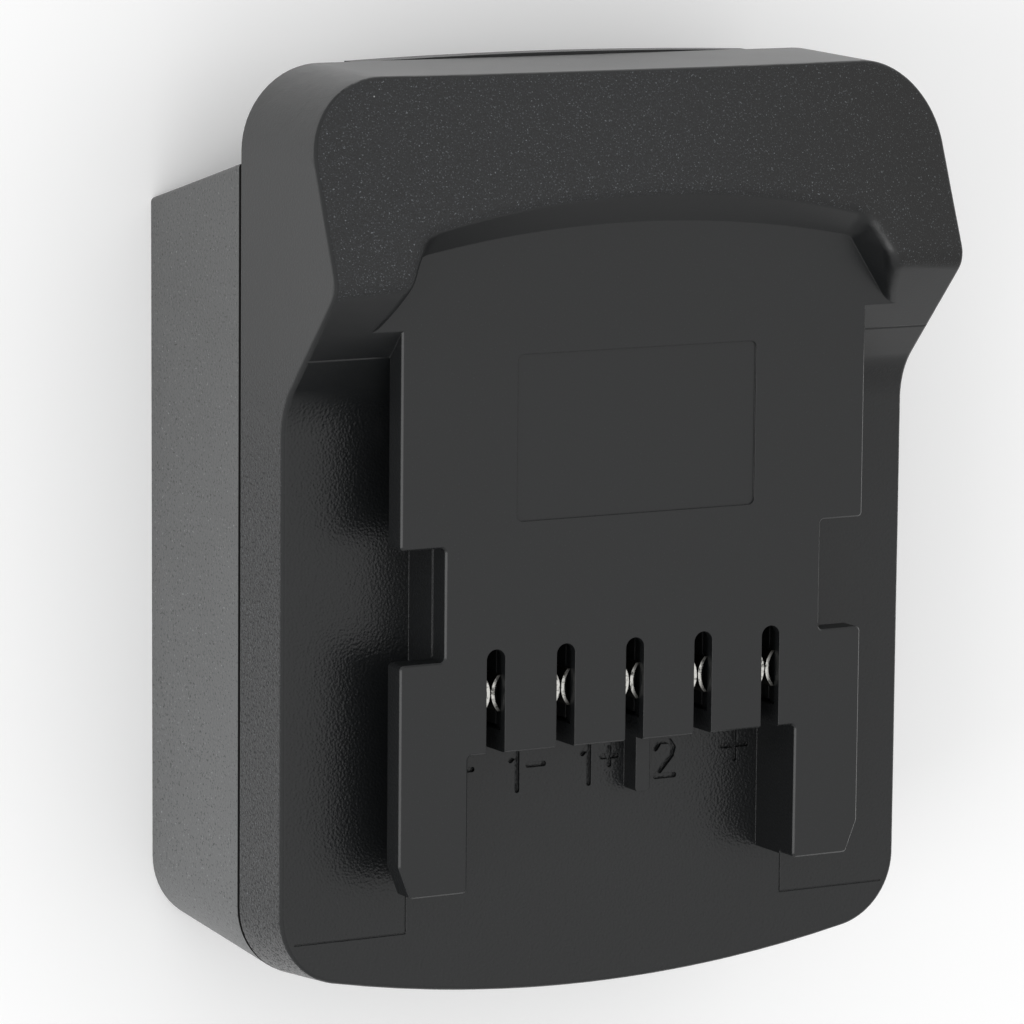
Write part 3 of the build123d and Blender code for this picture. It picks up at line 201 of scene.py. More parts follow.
# Where each texture of the mould lies, from 0 to 1.
level = add(tree, "MapRange", {"From Min": 0.8, "From Max": 0.9}, {"Value": faces.outputs["Z"]})
tilt = add(tree, "MapRange", {"From Min": 0.16, "From Max": 0.3}, {"Value": faces.outputs["Y"]})
crown = add(tree, "MapRange", {"From Min": crown_foot, "From Max": crown_full}, {"Value": spot.outputs["Z"]})
sloping = add(tree, "Math", wires={0: tilt.outputs[0], 1: crown.outputs[0]}, operation="MAXIMUM")
hump = add(tree, "Math", wires={0: level.outputs[0], 1: sloping.outputs[0]}, operation="MULTIPLY")
low = add(tree, "MapRange", {"From Min": tray_over, "From Max": tray_level}, {"Value": spot.outputs["Z"]})
tray = add(tree, "Math", wires={0: level.outputs[0], 1: low.outputs[0]}, operation="MULTIPLY")
upright = add(tree, "MapRange", {"From Min": 0.6, "From Max": 0.3}, {"Value": faces.outputs["Z"]})
flank = add(tree, "MapRange", {"From Min": hump_foot, "From Max": side_full, "To Min": 0.05, "To Max": 0.8},
            {"Value": spot.outputs["Y"]})
side = add(tree, "Math", wires={0: upright.outputs[0], 1: flank.outputs[0]}, operation="MULTIPLY")
across = add(tree, "Math", wires={0: spot.outputs["X"]}, operation="ABSOLUTE")
outward = add(tree, "Math", {1: side_half}, {0: across.outputs[0]}, operation="GREATER_THAN")
outside = add(tree, "Math", wires={0: side.outputs[0], 1: outward.outputs[0]}, operation="MULTIPLY")
# Grit, leather, satin and the sides' pits, each as deep as the place asks.
grit = add(tree, "TexNoise", {"Scale": 1 / grit_size, "Detail": 2.0, "Roughness": 0.7}, {"Vector": place})
leather = add(tree, "TexVoronoi", {"Scale": 1 / leather_size}, {"Vector": place}, feature="SMOOTH_F1")
satin = add(tree, "TexNoise", {"Scale": 1 / satin_size, "Detail": 1.0}, {"Vector": place})
grit_deep = add(tree, "Math", {1: 1.6}, {0: hump.outputs[0]}, operation="MULTIPLY")
gritty = add(tree, "Math", wires={0: grit.outputs["Fac"], 1: grit_deep.outputs[0]}, operation="MULTIPLY")
hide_deep = add(tree, "Math", wires={0: tray.outputs[0], 1: side.outputs[0]}, operation="ADD")
hide = add(tree, "Math", wires={0: leather.outputs["Distance"], 1: hide_deep.outputs[0]},
           operation="MULTIPLY")
grain = add(tree, "TexNoise", {"Scale": 1 / pit_size, "Detail": 1.0, "Roughness": 0.6}, {"Vector": place})
pits = add(tree, "MapRange", {"From Min": 0.45, "From Max": 0.36}, {"Value": grain.outputs["Fac"]})
side_pits = add(tree, "Math", wires={0: pits.outputs[0], 1: outside.outputs[0]}, operation="MULTIPLY")
pitted_hide = add(tree, "Math", {1: -1.2}, {0: side_pits.outputs[0], 2: hide.outputs[0]},
                  operation="MULTIPLY_ADD")
rough_parts = add(tree, "Math", wires={0: gritty.outputs[0], 1: pitted_hide.outputs[0]}, operation="ADD")
relief = add(tree, "Math", {1: 0.2}, {0: satin.outputs["Fac"], 2: rough_parts.outputs[0]},
             operation="MULTIPLY_ADD")
edge = add(tree, "Bevel", {"Radius": edge_round}, samples=4)
skin = add(tree, "Bump", {"Strength": 1.0, "Distance": skin_depth},
           {"Height": relief.outputs[0], "Normal": edge.outputs[0]})
# Painted light on the grit: its crests are painted pale as glints and its pits painted dark as shade, mostly
# on the hump.
swell = add(tree, "MapRange", {"From Min": 0.34, "From Max": 0.66}, {"Value": grit.outputs["Fac"]})
crest = add(tree, "MapRange", {"From Min": 0.63, "From Max": 0.76}, {"Value": grit.outputs["Fac"]})
cloud = add(tree, "TexNoise", {"Scale": 1 / cloud_size, "Detail": 3.0}, {"Vector": place})
tone = add(tree, "MixRGB", {"Color1": linear("#111213"), "Color2": linear("#151718")},
           {"Fac": cloud.outputs["Fac"]})
# The grit's painted light dims toward the right end, as painted shade.
right_end, hump_middle = 32 * mm, 2 * mm
painted_shade_to_right = add(tree, "MapRange", {"From Min": right_end, "From Max": hump_middle, "To Min": 0.05},
              {"Value": spot.outputs["X"]})
painted_grit_light = add(tree, "Math", wires={0: swell.outputs[0], 1: painted_shade_to_right.outputs[0]}, operation="MULTIPLY")
painted_grit_shading = add(tree, "MixRGB", {"Color1": linear("#030303"), "Color2": linear("#1E2023")},
             {"Fac": painted_grit_light.outputs[0]})
coarse = add(tree, "Math", wires={0: hump.outputs[0], 1: outside.outputs[0]}, operation="MAXIMUM")
show = add(tree, "MapRange", {"To Min": 0.07, "To Max": 1.0}, {"Value": coarse.outputs[0]})
rough_tone = add(tree, "MixRGB", wires={"Fac": show.outputs[0], "Color1": tone.outputs[0],
                                        "Color2": painted_grit_shading.outputs[0]})
# Painted glints: pale grey mixed in on the grit's crests.
painted_glints_shown = add(tree, "Math", wires={0: crest.outputs[0], 1: show.outputs[0]}, operation="MULTIPLY")
pale = add(tree, "MixRGB", {"Color2": linear("#7F8488")},
           {"Fac": painted_glints_shown.outputs[0], "Color1": rough_tone.outputs[0]})
# Dust: a few pale motes, none over 0.2 mm across.
motes = add(tree, "TexVoronoi", {"Scale": 1 / mote_gap}, {"Vector": place})
mote = add(tree, "MapRange", {"From Min": 0.012, "From Max": 0.007}, {"Value": motes.outputs["Distance"]})
dusty = add(tree, "MixRGB", {"Color2": linear("#9A9C9C")},
            {"Fac": mote.outputs[0], "Color1": pale.outputs[0]})
gloss = add(tree, "MapRange", {"To Min": 0.29, "To Max": 0.35}, {"Value": cloud.outputs["Fac"]})
# The walls of the contact slots, cut by a fine electrode, came out dull.
within = add(tree, "Math", {1: slots_half}, {0: across.outputs[0]}, operation="LESS_THAN")
along = add(tree, "Math", {1: slots_middle, 2: slots_reach}, {0: spot.outputs["Y"]}, operation="COMPARE")
slot_wall = add(tree, "Math", wires={0: within.outputs[0], 1: along.outputs[0]}, operation="MULTIPLY")
dull = add(tree, "Math", wires={0: slot_wall.outputs[0], 1: upright.outputs[0]}, operation="MULTIPLY")
# The pits of the sides are dull too, and so is the rounded rim of the left side.
side_gloss = add(tree, "Math", {1: 0.4}, {0: side_pits.outputs[0], 2: gloss.outputs[0]},
                 operation="MULTIPLY_ADD")
turned = add(tree, "Math", {1: -0.62, 2: 0.3}, {0: faces.outputs["X"]}, operation="COMPARE")
facing = add(tree, "Math", {1: 0.25}, {0: faces.outputs["Z"]}, operation="GREATER_THAN")
turned_up = add(tree, "Math", wires={0: turned.outputs[0], 1: facing.outputs[0]}, operation="MULTIPLY")
round_edge = add(tree, "Math", wires={0: turned_up.outputs[0], 1: outward.outputs[0]}, operation="MULTIPLY")
edge_gloss = add(tree, "MixRGB", {"Color2": (0.7, 0.7, 0.7, 1.0)},
                 {"Fac": round_edge.outputs[0], "Color1": side_gloss.outputs[0]})
matted = add(tree, "MixRGB", {"Color2": (0.42, 0.42, 0.42, 1.0)},
             {"Fac": dull.outputs[0], "Color1": edge_gloss.outputs[0]})
nylon = add(tree, "BsdfPrincipled", {"IOR": 1.5},
            {"Base Color": dusty.outputs[0], "Roughness": matted.outputs[0], "Normal": skin.outputs[0]})
add(tree, "OutputMaterial", wires={"Surface": nylon.outputs[0]})
dress(cover_nylon, "tool_side_cover")


# Shadow gap: a groove 0.5 mm wide and 1.1 mm deep round the seam, half of it in each shell.
# It is moulded into both rims, hides their small mismatch, and shows as a thin black line; the housing's rim
# in it is also painted black as shade.
cover = nodes["tool_side_cover"]
housing = nodes["battery_side_housing"]
seam_level = 20.8
groove_width = 0.5
groove_foot = seam_level - groove_width / 2
traced_level = 21.4
groove_floor_scale = (0.97, 0.977, 1)
groove_mouth_scale = (1.01, 1.01, 1)
welded = 0.002 * mm
gap = bmesh.new()
gap.from_mesh(cover.data)
bmesh.ops.remove_doubles(gap, verts=gap.verts[:], dist=welded)
cut = bmesh.ops.bisect_plane(gap, geom=gap.verts[:] + gap.edges[:] + gap.faces[:], dist=0.0001 * mm,
                             plane_co=(0, 0, traced_level * mm), plane_no=(0, 0, 1))["geom_cut"]
# Only the outermost line of the section is kept: it is walked from its leftmost edge.
section = {edge for edge in cut if isinstance(edge, bmesh.types.BMEdge)}
outline = {min(section, key=lambda edge: edge.verts[0].co.x)}
front = list(outline)
while front:
    for corner in front.pop().verts:
        found = [edge for edge in corner.link_edges if edge in section and edge not in outline]
        outline.update(found)
        front += found
bmesh.ops.delete(gap, geom=[edge for edge in gap.edges if edge not in outline], context="EDGES")
bmesh.ops.translate(gap, vec=(0, 0, (groove_foot - traced_level) * mm), verts=gap.verts[:])
inner = bmesh.ops.duplicate(gap, geom=gap.verts[:] + gap.edges[:])["geom"]
inner_corners = [part for part in inner if isinstance(part, bmesh.types.BMVert)]
outer_corners = [corner for corner in gap.verts if corner not in set(inner_corners)]
bmesh.ops.scale(gap, vec=groove_floor_scale, verts=inner_corners)
bmesh.ops.scale(gap, vec=groove_mouth_scale, verts=outer_corners)
bmesh.ops.bridge_loops(gap, edges=gap.edges[:])
lifted = bmesh.ops.extrude_face_region(gap, geom=gap.faces[:])["geom"]
bmesh.ops.translate(gap, vec=(0, 0, groove_width * mm),
                    verts=[part for part in lifted if isinstance(part, bmesh.types.BMVert)])
bmesh.ops.recalc_face_normals(gap, faces=gap.faces)


def hidden_cutter(shape, name):
    """Makes an object that only cuts others, unseen, and rides with the shells."""
    mesh = bpy.data.meshes.new(name)
    shape.to_mesh(mesh)
    shape.free()
    cutter = bpy.data.objects.new(name, mesh)
    cutter.hide_render = True
    cutter.hide_viewport = True
    scene.collection.objects.link(cutter)
    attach(cutter, "shell")
    return cutter


def cut_out(piece, cutter, name):
    """Cuts a cutter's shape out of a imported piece."""
    if "joined_faces" not in piece.modifiers:
        piece.modifiers.new("joined_faces", "WELD").merge_threshold = welded
    sunk = piece.modifiers.new(name, "BOOLEAN")
    sunk.operation = "DIFFERENCE"
    sunk.solver = "EXACT"
    sunk.use_self = True
    sunk.object = cutter


gap_cutter = hidden_cutter(gap, "shadow_gap_cutter")
cut_out(cover, gap_cutter, "shadow_gap")
cut_out(housing, gap_cutter, "shadow_gap")


# Contact marks: plain signs and numbers sunk into the tray below the contact slots.
# The mould had them raised, so each stroke is a round-ended groove 0.55 mm wide.
# They name the contacts: minus, the two sensing lines of the minus and plus side, 2, and plus.
def stroke(marks, start, end, width=0.55, top=31.0, foot=30.0, sides=16):
    """Adds the cutter of one straight groove with round ends, in mm on the tray."""
    run = Vector(end) - Vector(start)
    turn = atan2(run.y, run.x)
    ring = bmesh.ops.create_circle(marks, cap_ends=True, segments=sides, radius=width / 2 * mm)["verts"]
    bmesh.ops.rotate(marks, verts=ring, matrix=Matrix.Rotation(pi / sides, 3, "Z"))
    far = [v for v in ring if v.co.x > 0]
    bmesh.ops.translate(marks, vec=(run.length * mm, 0, 0), verts=far)
    bmesh.ops.rotate(marks, verts=ring, matrix=Matrix.Rotation(turn, 3, "Z"))
    bmesh.ops.translate(marks, vec=(start[0] * mm, start[1] * mm, foot * mm), verts=ring)
    floor = list({face for v in ring for face in v.link_faces})
    lifted = bmesh.ops.extrude_face_region(marks, geom=floor)["geom"]
    raised = [v for v in lifted if isinstance(v, bmesh.types.BMVert)]
    bmesh.ops.translate(marks, vec=(0, 0, (top - foot) * mm), verts=raised)


def numeral_one(x, top=-22.9, foot=-26.9, flag=(-0.8, -0.75)):
    """The two strokes of a one: its stem and its short flag."""
    return ((x, top), (x, foot)), ((x + flag[0], top + flag[1]), (x, top))


mark_strokes = (
    # The minus of the negative contact.
    ((-16.2, -24.2), (-15.1, -24.2)),
    # One and minus.
    *numeral_one(-9.7), ((-8.4, -24.3), (-6.5, -24.3)),
    # One and plus.
    *numeral_one(-1.0), ((0.6, -24.2), (2.4, -24.2)), ((1.5, -25.1), (1.5, -23.3)),
    # Two.
    ((7.2, -23.9), (7.7, -23.2)), ((7.7, -23.2), (8.9, -23.2)), ((8.9, -23.2), (9.4, -23.9)),
    ((9.4, -23.9), (9.2, -24.7)), ((9.2, -24.7), (7.2, -26.9)), ((7.2, -26.9), (9.5, -26.9)),
    # The plus of the positive contact.
    ((15.5, -24.3), (18.5, -24.3)), ((17.0, -25.8), (17.0, -22.8)),
)
marks = bmesh.new()
for begin, finish in mark_strokes:
    stroke(marks, begin, finish)
bmesh.ops.recalc_face_normals(marks, faces=marks.faces)
cut_out(cover, hidden_cutter(marks, "contact_mark_cutter"), "sunk_marks")


# Edges of both shells: flat faces stay flat in the light, and edges over 30 degrees stay sharp.
# That is how a mould milled from the solid leaves them.
sharp_angle = radians(30)
creased = bpy.data.node_groups.new("sharp_over_30_degrees", "GeometryNodeTree")
creased.interface.new_socket("Geometry", in_out="INPUT", socket_type="NodeSocketGeometry")
creased.interface.new_socket("Geometry", in_out="OUTPUT", socket_type="NodeSocketGeometry")
comes = creased.nodes.new("NodeGroupInput")
turn = creased.nodes.new("GeometryNodeInputMeshEdgeAngle")
over = creased.nodes.new("FunctionNodeCompare")
over.inputs["B"].default_value = sharp_angle
creased.links.new(turn.outputs["Unsigned Angle"], over.inputs["A"])
smoothed = creased.nodes.new("GeometryNodeSetShadeSmooth")
smoothed.domain = "FACE"
creased.links.new(comes.outputs[0], smoothed.inputs["Geometry"])
sharp = creased.nodes.new("GeometryNodeSetShadeSmooth")
sharp.domain = "EDGE"
sharp.inputs["Shade Smooth"].default_value = False
creased.links.new(smoothed.outputs[0], sharp.inputs["Geometry"])
creased.links.new(over.outputs["Result"], sharp.inputs["Selection"])
goes = creased.nodes.new("NodeGroupOutput")
creased.links.new(sharp.outputs[0], goes.inputs[0])
for half in (cover, housing):
    half.modifiers.new("crisp_edges", "NODES").node_group = creased
    half.modifiers.new("flat_faces", "WEIGHTED_NORMAL").keep_sharp = True


# Battery side housing: the deep half with the rails that the battery pack slides into.
# The same black nylon, out of a rougher cavity, so its sides look greyer than the cover's.
# It is paler toward the foot, and its rim in the shadow gap is painted black as shade.
def moulded_nylon(name, tones, gloss, grain, depth, edge_radius, specks=0.0, paleness=0.0, joint=1000.0,
                  cloud_size=9.0, speck_size=0.28, paleness_from=30.0, paleness_to=-45.0):
    """Black moulded nylon: even grain, slightly rounded edges, faint clouding and specks.

    It grows paler along y as far as its paleness says, and above the joint it is painted black as shade.
    Sizes are in mm.
    """
    finish, tree = blank_finish(name)
    place = add(tree, "TexCoord").outputs["Object"]
    pits = add(tree, "TexNoise", {"Scale": 1 / (grain * mm), "Detail": 2.5, "Roughness": 0.6},
               {"Vector": place})
    edge = add(tree, "Bevel", {"Radius": edge_radius * mm}, samples=4)
    skin = add(tree, "Bump", {"Strength": 1.0, "Distance": depth * mm},
               {"Height": pits.outputs["Fac"], "Normal": edge.outputs[0]})
    cloud = add(tree, "TexNoise", {"Scale": 1 / (cloud_size * mm), "Detail": 3.0}, {"Vector": place})
    tone = add(tree, "MixRGB", {"Color1": linear(tones[0]), "Color2": linear(tones[1])},
               {"Fac": cloud.outputs["Fac"]})
    fine = add(tree, "TexNoise", {"Scale": 1 / (speck_size * mm), "Detail": 1.0, "Roughness": 0.6},
               {"Vector": place})
    spot = add(tree, "SeparateXYZ", wires={0: place})
    paler = add(tree, "MapRange",
                {"From Min": paleness_from * mm, "From Max": paleness_to * mm, "To Max": paleness},
                {"Value": spot.outputs["Y"]})
    pit = add(tree, "MapRange", {"From Min": 0.38, "From Max": 0.32, "To Max": specks},
              {"Value": fine.outputs["Fac"]})
    crumb = add(tree, "MapRange", {"From Min": 0.68, "From Max": 0.78, "To Max": specks},
                {"Value": fine.outputs["Fac"]})
    # Painted shade: above the joint, inside the shadow gap, the rim is painted near black and made rough.
    painted_gap_shade = add(tree, "MapRange", {"From Min": (joint - 0.01) * mm, "From Max": joint * mm},
                {"Value": spot.outputs["Z"]})
    for part, code in ((paler, "#8A8C8D"), (pit, "#0A0A0A"), (crumb, "#9A9C9D"), (painted_gap_shade, "#020202")):
        tone = add(tree, "MixRGB", {"Color2": linear(code)},
                   {"Fac": part.outputs[0], "Color1": tone.outputs[0]})
    even = add(tree, "MapRange", {"To Min": gloss[0], "To Max": gloss[1]}, {"Value": cloud.outputs["Fac"]})
    sheen = add(tree, "MixRGB", {"Color2": (0.9, 0.9, 0.9, 1.0)},
                {"Fac": painted_gap_shade.outputs[0], "Color1": even.outputs[0]})
    nylon = add(tree, "BsdfPrincipled", {"IOR": 1.5},
                {"Base Color": tone.outputs[0], "Roughness": sheen.outputs[0], "Normal": skin.outputs[0]})
    add(tree, "OutputMaterial", wires={"Surface": nylon.outputs[0]})
    return finish


# Coarse-eroded nylon: dark grey with fine dark pits and a few pale crumbs.
joint_clearance = 0.02
joint_level = groove_foot - joint_clearance
housing_nylon = moulded_nylon(
    "coarse_eroded_nylon_housing", ("#484949", "#575858"), (0.42, 0.5), grain=0.36, depth=0.07,
    edge_radius=0.14, specks=0.7, paleness=0.25, joint=joint_level,
)
dress(housing_nylon, "battery_side_housing")


# Terminal block: a moulded block in the receiver that holds the four blades of the pack side.
# Smooth black nylon, screwed to the receiver's roof from below.
smooth_nylon = moulded_nylon("smooth_nylon_block", ("#1A1B1C", "#1E1F20"), (0.36, 0.42),
                             grain=0.18, depth=0.008, edge_radius=0.1)
dress(smooth_nylon, "terminal_block", "contact_carrier")


# Blades: stamped copper strip, tinned bright, pushed into the block and sized for the pack's forks.
# Rolling and stamping left faint lengthwise lines, and the tin dulls a little in clouds.
def bare_metal(name, tones, gloss, line, depth, edge_radius=0.06, stretch=0.08, cloud_size=2.5):
    """A bare or plated metal: fine lines along y, faint clouding and slightly broken edges, in mm."""
    finish, tree = blank_finish(name)
    place = add(tree, "TexCoord").outputs["Object"]
    drawn = add(tree, "Mapping", {"Scale": (1.0, stretch, 1.0)}, {"Vector": place})
    lines = add(tree, "TexNoise", {"Scale": 1 / (line * mm), "Detail": 2.0}, {"Vector": drawn.outputs[0]})
    cloud = add(tree, "TexNoise", {"Scale": 1 / (cloud_size * mm), "Detail": 2.0}, {"Vector": place})
    tone = add(tree, "MixRGB", {"Color1": linear(tones[0]), "Color2": linear(tones[1])},
               {"Fac": cloud.outputs["Fac"]})
    sheen = add(tree, "MapRange", {"To Min": gloss[0], "To Max": gloss[1]}, {"Value": cloud.outputs["Fac"]})
    edge = add(tree, "Bevel", {"Radius": edge_radius * mm}, samples=4)
    skin = add(tree, "Bump", {"Strength": 1.0, "Distance": depth * mm},
               {"Height": lines.outputs["Fac"], "Normal": edge.outputs[0]})
    metal = add(tree, "BsdfPrincipled", {"Metallic": 1.0},
                {"Base Color": tone.outputs[0], "Roughness": sheen.outputs[0], "Normal": skin.outputs[0]})
    add(tree, "OutputMaterial", wires={"Surface": metal.outputs[0]})
    return finish


tinned = bare_metal("bright_tinned_copper", ("#D6D5D0", "#E6E5E1"), (0.18, 0.32), line=0.12, depth=0.003)
dress(tinned, "blade_negative", "blade_positive", "blade_signal_left", "blade_signal_right")


# Contact clips: five forks of tinned bronze strip, bent so that two round beads grip a blade.
# The tin is dull and painted dark as shade on its faces, and painted bright as a highlight, in patches, only
# on the up-facing tops near the beads.
bead_y = -15.0 * mm
bead_full, bead_end = 0.9 * mm, 2.0 * mm
clip_tin, tree = blank_finish("tin_on_bronze_painted_highlight")
place = add(tree, "TexCoord").outputs["Object"]
spot = add(tree, "SeparateXYZ", wires={0: place})
faces = add(tree, "SeparateXYZ", wires={0: add(tree, "NewGeometry").outputs["Normal"]})
# Painted light: up-facing faces near the beads are mixed bright as a highlight, all else dark as shade.
top_edge = add(tree, "MapRange", {"From Min": 0.5, "From Max": 0.8}, {"Value": faces.outputs["Z"]})
from_bead = add(tree, "Math", {1: bead_y}, {0: spot.outputs["Y"]}, operation="SUBTRACT")
bead_reach = add(tree, "Math", wires={0: from_bead.outputs[0]}, operation="ABSOLUTE")
paleness = add(tree, "MapRange", {"From Min": bead_end, "From Max": bead_full},
             {"Value": bead_reach.outputs[0]})
painted_top_highlight = add(tree, "Math", wires={0: top_edge.outputs[0], 1: paleness.outputs[0]}, operation="MULTIPLY")
patch_noise = add(tree, "TexNoise", {"Scale": 1 / (0.35 * mm), "Detail": 2.0}, {"Vector": place})
highlight_patches = add(tree, "MapRange", {"From Min": 0.25, "From Max": 0.5}, {"Value": patch_noise.outputs["Fac"]})
painted_highlight = add(tree, "Math", wires={0: painted_top_highlight.outputs[0], 1: highlight_patches.outputs[0]}, operation="MULTIPLY")
clip_tone = add(tree, "MixRGB", {"Color1": linear("#34332F"), "Color2": linear("#D9D8D3")},
                {"Fac": painted_highlight.outputs[0]})
clip_gloss = add(tree, "MapRange", {"To Min": 0.5, "To Max": 0.22}, {"Value": painted_highlight.outputs[0]})
clip_edge = add(tree, "Bevel", {"Radius": 0.08 * mm}, samples=4)
clip_metal = add(tree, "BsdfPrincipled", {"Metallic": 1.0},
                 {"Base Color": clip_tone.outputs[0], "Roughness": clip_gloss.outputs[0],
                  "Normal": clip_edge.outputs[0]})
add(tree, "OutputMaterial", wires={"Surface": clip_metal.outputs[0]})
dress(clip_tin, "clip_negative", "clip_2", "clip_3", "clip_4", "clip_positive")


# Release button, latch slide, lugs and latch plate: plain moulded nylon that slides on itself.
# A fine grain, a little glossier where the pieces rub.
latch_nylon = moulded_nylon("sliding_nylon_latch", ("#1C1D1E", "#222324"), (0.34, 0.42),
                            grain=0.24, depth=0.02, edge_radius=0.12)
dress(latch_nylon, "release_button", "latch_slide", "latch_lug_left", "latch_lug_right", "latch_plate")


# Return springs: two coil springs between the cover's seats and the shoulders of the slide.
# Hard-drawn steel wire of 0.5 mm, wound cold with closed ends, that push the button out again.
spring_level = 25.8


def coil(wires, middle_x, wire=0.5, radius=2.0, start=26.25, closed=0.52, open_pitch=1.28, steps=20):
    """Winds one spring round a line along y, from its seat to the slide's shoulder, in mm."""
    ring = bmesh.ops.create_circle(wires, segments=10, radius=wire / 2 * mm)["verts"]
    bmesh.ops.translate(wires, vec=((middle_x + radius) * mm, start * mm, spring_level * mm), verts=ring)
    front = ring + list({edge for v in ring for edge in v.link_edges})
    for turns, pitch in ((1, closed), (7, open_pitch), (1, closed)):
        wound = bmesh.ops.spin(
            wires, geom=front, cent=(middle_x * mm, 0, spring_level * mm), axis=(0, 1, 0),
            dvec=(0, pitch / steps * mm, 0), angle=2 * pi * turns, steps=steps * turns,
        )
        front = wound["geom_last"]


def settle(shape, name, finish, body="shell", smooth=40):
    """Makes an object of a finished bmesh, with its finish and the body that it rides on."""
    bmesh.ops.recalc_face_normals(shape, faces=shape.faces)
    mesh = bpy.data.meshes.new(name)
    shape.to_mesh(mesh)
    shape.free()
    mesh.materials.append(finish)
    mesh.shade_smooth()
    mesh.set_sharp_from_angle(angle=radians(smooth))
    piece = bpy.data.objects.new(name, mesh)
    scene.collection.objects.link(piece)
    if body:
        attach(piece, body)
    return piece


spring_apart = 14.1
wires = bmesh.new()
for hand in (-1, 1):
    coil(wires, hand * spring_apart)
bmesh.ops.holes_fill(wires, edges=[edge for edge in wires.edges if edge.is_boundary], sides=12)
# Hard-drawn wire: grey steel with a soft even shine.
drawn_wire = bare_metal("hard_drawn_spring_wire", ("#8E8D89", "#A3A29E"), (0.26, 0.36),
                        line=0.1, depth=0.002, edge_radius=0.03)
return_coils = settle(wires, "return_coils", drawn_wire, body=None)
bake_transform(return_coils)
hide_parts("return_springs")


# Circuit board: glass-fibre laminate with green solder mask over its copper, on four posts.
# The mask is glossy and darker off the copper, and the sawn edges show the pale laminate.
board_mask, tree = blank_finish("green_solder_mask_board")
place = add(tree, "TexCoord").outputs["Object"]
faces = add(tree, "SeparateXYZ", wires={0: add(tree, "NewGeometry").outputs["Normal"]})
flat_face = add(tree, "Math", wires={0: faces.outputs["Z"]}, operation="ABSOLUTE")
sawn = add(tree, "MapRange", {"From Min": 0.8, "From Max": 0.5}, {"Value": flat_face.outputs[0]})
cells = add(tree, "TexVoronoi", {"Scale": 1 / (3.2 * mm)}, {"Vector": place}, distance="CHEBYCHEV")
track = add(tree, "Math", {1: 0.36, 2: 0.06}, {0: cells.outputs["Distance"]}, operation="COMPARE")
mask_tone = add(tree, "MixRGB", {"Color1": linear("#0D3A22"), "Color2": linear("#1C5C37")},
                {"Fac": track.outputs[0]})
weave = add(tree, "TexChecker", {"Scale": 1 / (0.4 * mm), "Color1": linear("#A9A77C"),
                                 "Color2": linear("#8F8D63")}, {"Vector": place})
board_tone = add(tree, "MixRGB", wires={"Fac": sawn.outputs[0], "Color1": mask_tone.outputs[0],
                                        "Color2": weave.outputs["Color"]})
board_gloss = add(tree, "MapRange", {"To Min": 0.24, "To Max": 0.6}, {"Value": sawn.outputs[0]})
board_skin = add(tree, "Bump", {"Strength": 1.0, "Distance": 0.03 * mm}, {"Height": track.outputs[0]})
board_coat = add(tree, "BsdfPrincipled", {"IOR": 1.5},
                 {"Base Color": board_tone.outputs[0], "Roughness": board_gloss.outputs[0],
                  "Normal": board_skin.outputs[0]})
add(tree, "OutputMaterial", wires={"Surface": board_coat.outputs[0]})
dress(board_mask, "circuit_board")


# Control chip: black epoxy moulded over the die, with eight bent legs soldered to the board.
# Transfer moulding leaves an even matt face and a round dimple beside the first leg.
dimple_place = (1.95 * mm, -5.4 * mm, 23.1 * mm)
chip_epoxy, tree = blank_finish("transfer_moulded_epoxy_chip")
place = add(tree, "TexCoord").outputs["Object"]
grain = add(tree, "TexNoise", {"Scale": 1 / (0.08 * mm), "Detail": 1.0}, {"Vector": place})
dimple_way = add(tree, "VectorMath", {1: dimple_place}, {0: place}, operation="DISTANCE")
dimple = add(tree, "MapRange", {"From Min": 0.36 * mm, "From Max": 0.3 * mm},
             {"Value": dimple_way.outputs["Value"]})
sunken = add(tree, "Math", {1: 0.1}, {0: grain.outputs["Fac"], 2: dimple.outputs[0]},
             operation="MULTIPLY_ADD")
chip_skin = add(tree, "Bump", {"Strength": 1.0, "Distance": 0.05 * mm}, {"Height": sunken.outputs[0]},
                invert=True)
chip_tone = add(tree, "MixRGB", {"Color1": linear("#1B1B1C"), "Color2": linear("#262627")},
                {"Fac": grain.outputs["Fac"]})
chip_body = add(tree, "BsdfPrincipled", {"IOR": 1.55, "Roughness": 0.55},
                {"Base Color": chip_tone.outputs[0], "Normal": chip_skin.outputs[0]})
add(tree, "OutputMaterial", wires={"Surface": chip_body.outputs[0]})
dress(chip_epoxy, "control_chip")

chip_low, chip_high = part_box("control_chip")
chip_middle = (chip_low[0] + chip_high[0]) / 2
leg_width = 0.4 * mm
leg_thickness = 0.16 * mm
leg_pitch = 1.27 * mm
leg_bends = ((-0.1, 0.62), (0.32, 0.62), (0.5, 0.12), (0.95, 0.1))
legs = bmesh.new()
for wall, out in ((chip_low[1], -1), (chip_high[1], 1)):
    for step in (-1.5, -0.5, 0.5, 1.5):
        leg_left = chip_middle + step * leg_pitch - leg_width / 2
        bend = [legs.verts.new((leg_left, wall + out * reach * mm, chip_low[2] + height * mm))
                for reach, height in leg_bends]
        path = [legs.edges.new(pair) for pair in zip(bend, bend[1:])]
        strip = bmesh.ops.extrude_edge_only(legs, edges=path)["geom"]
        bmesh.ops.translate(legs, vec=(leg_width, 0, 0),
                            verts=[v for v in strip if isinstance(v, bmesh.types.BMVert)])
bmesh.ops.recalc_face_normals(legs, faces=legs.faces)
bmesh.ops.solidify(legs, geom=legs.faces[:], thickness=leg_thickness)
settle(legs, "chip_legs", tinned)


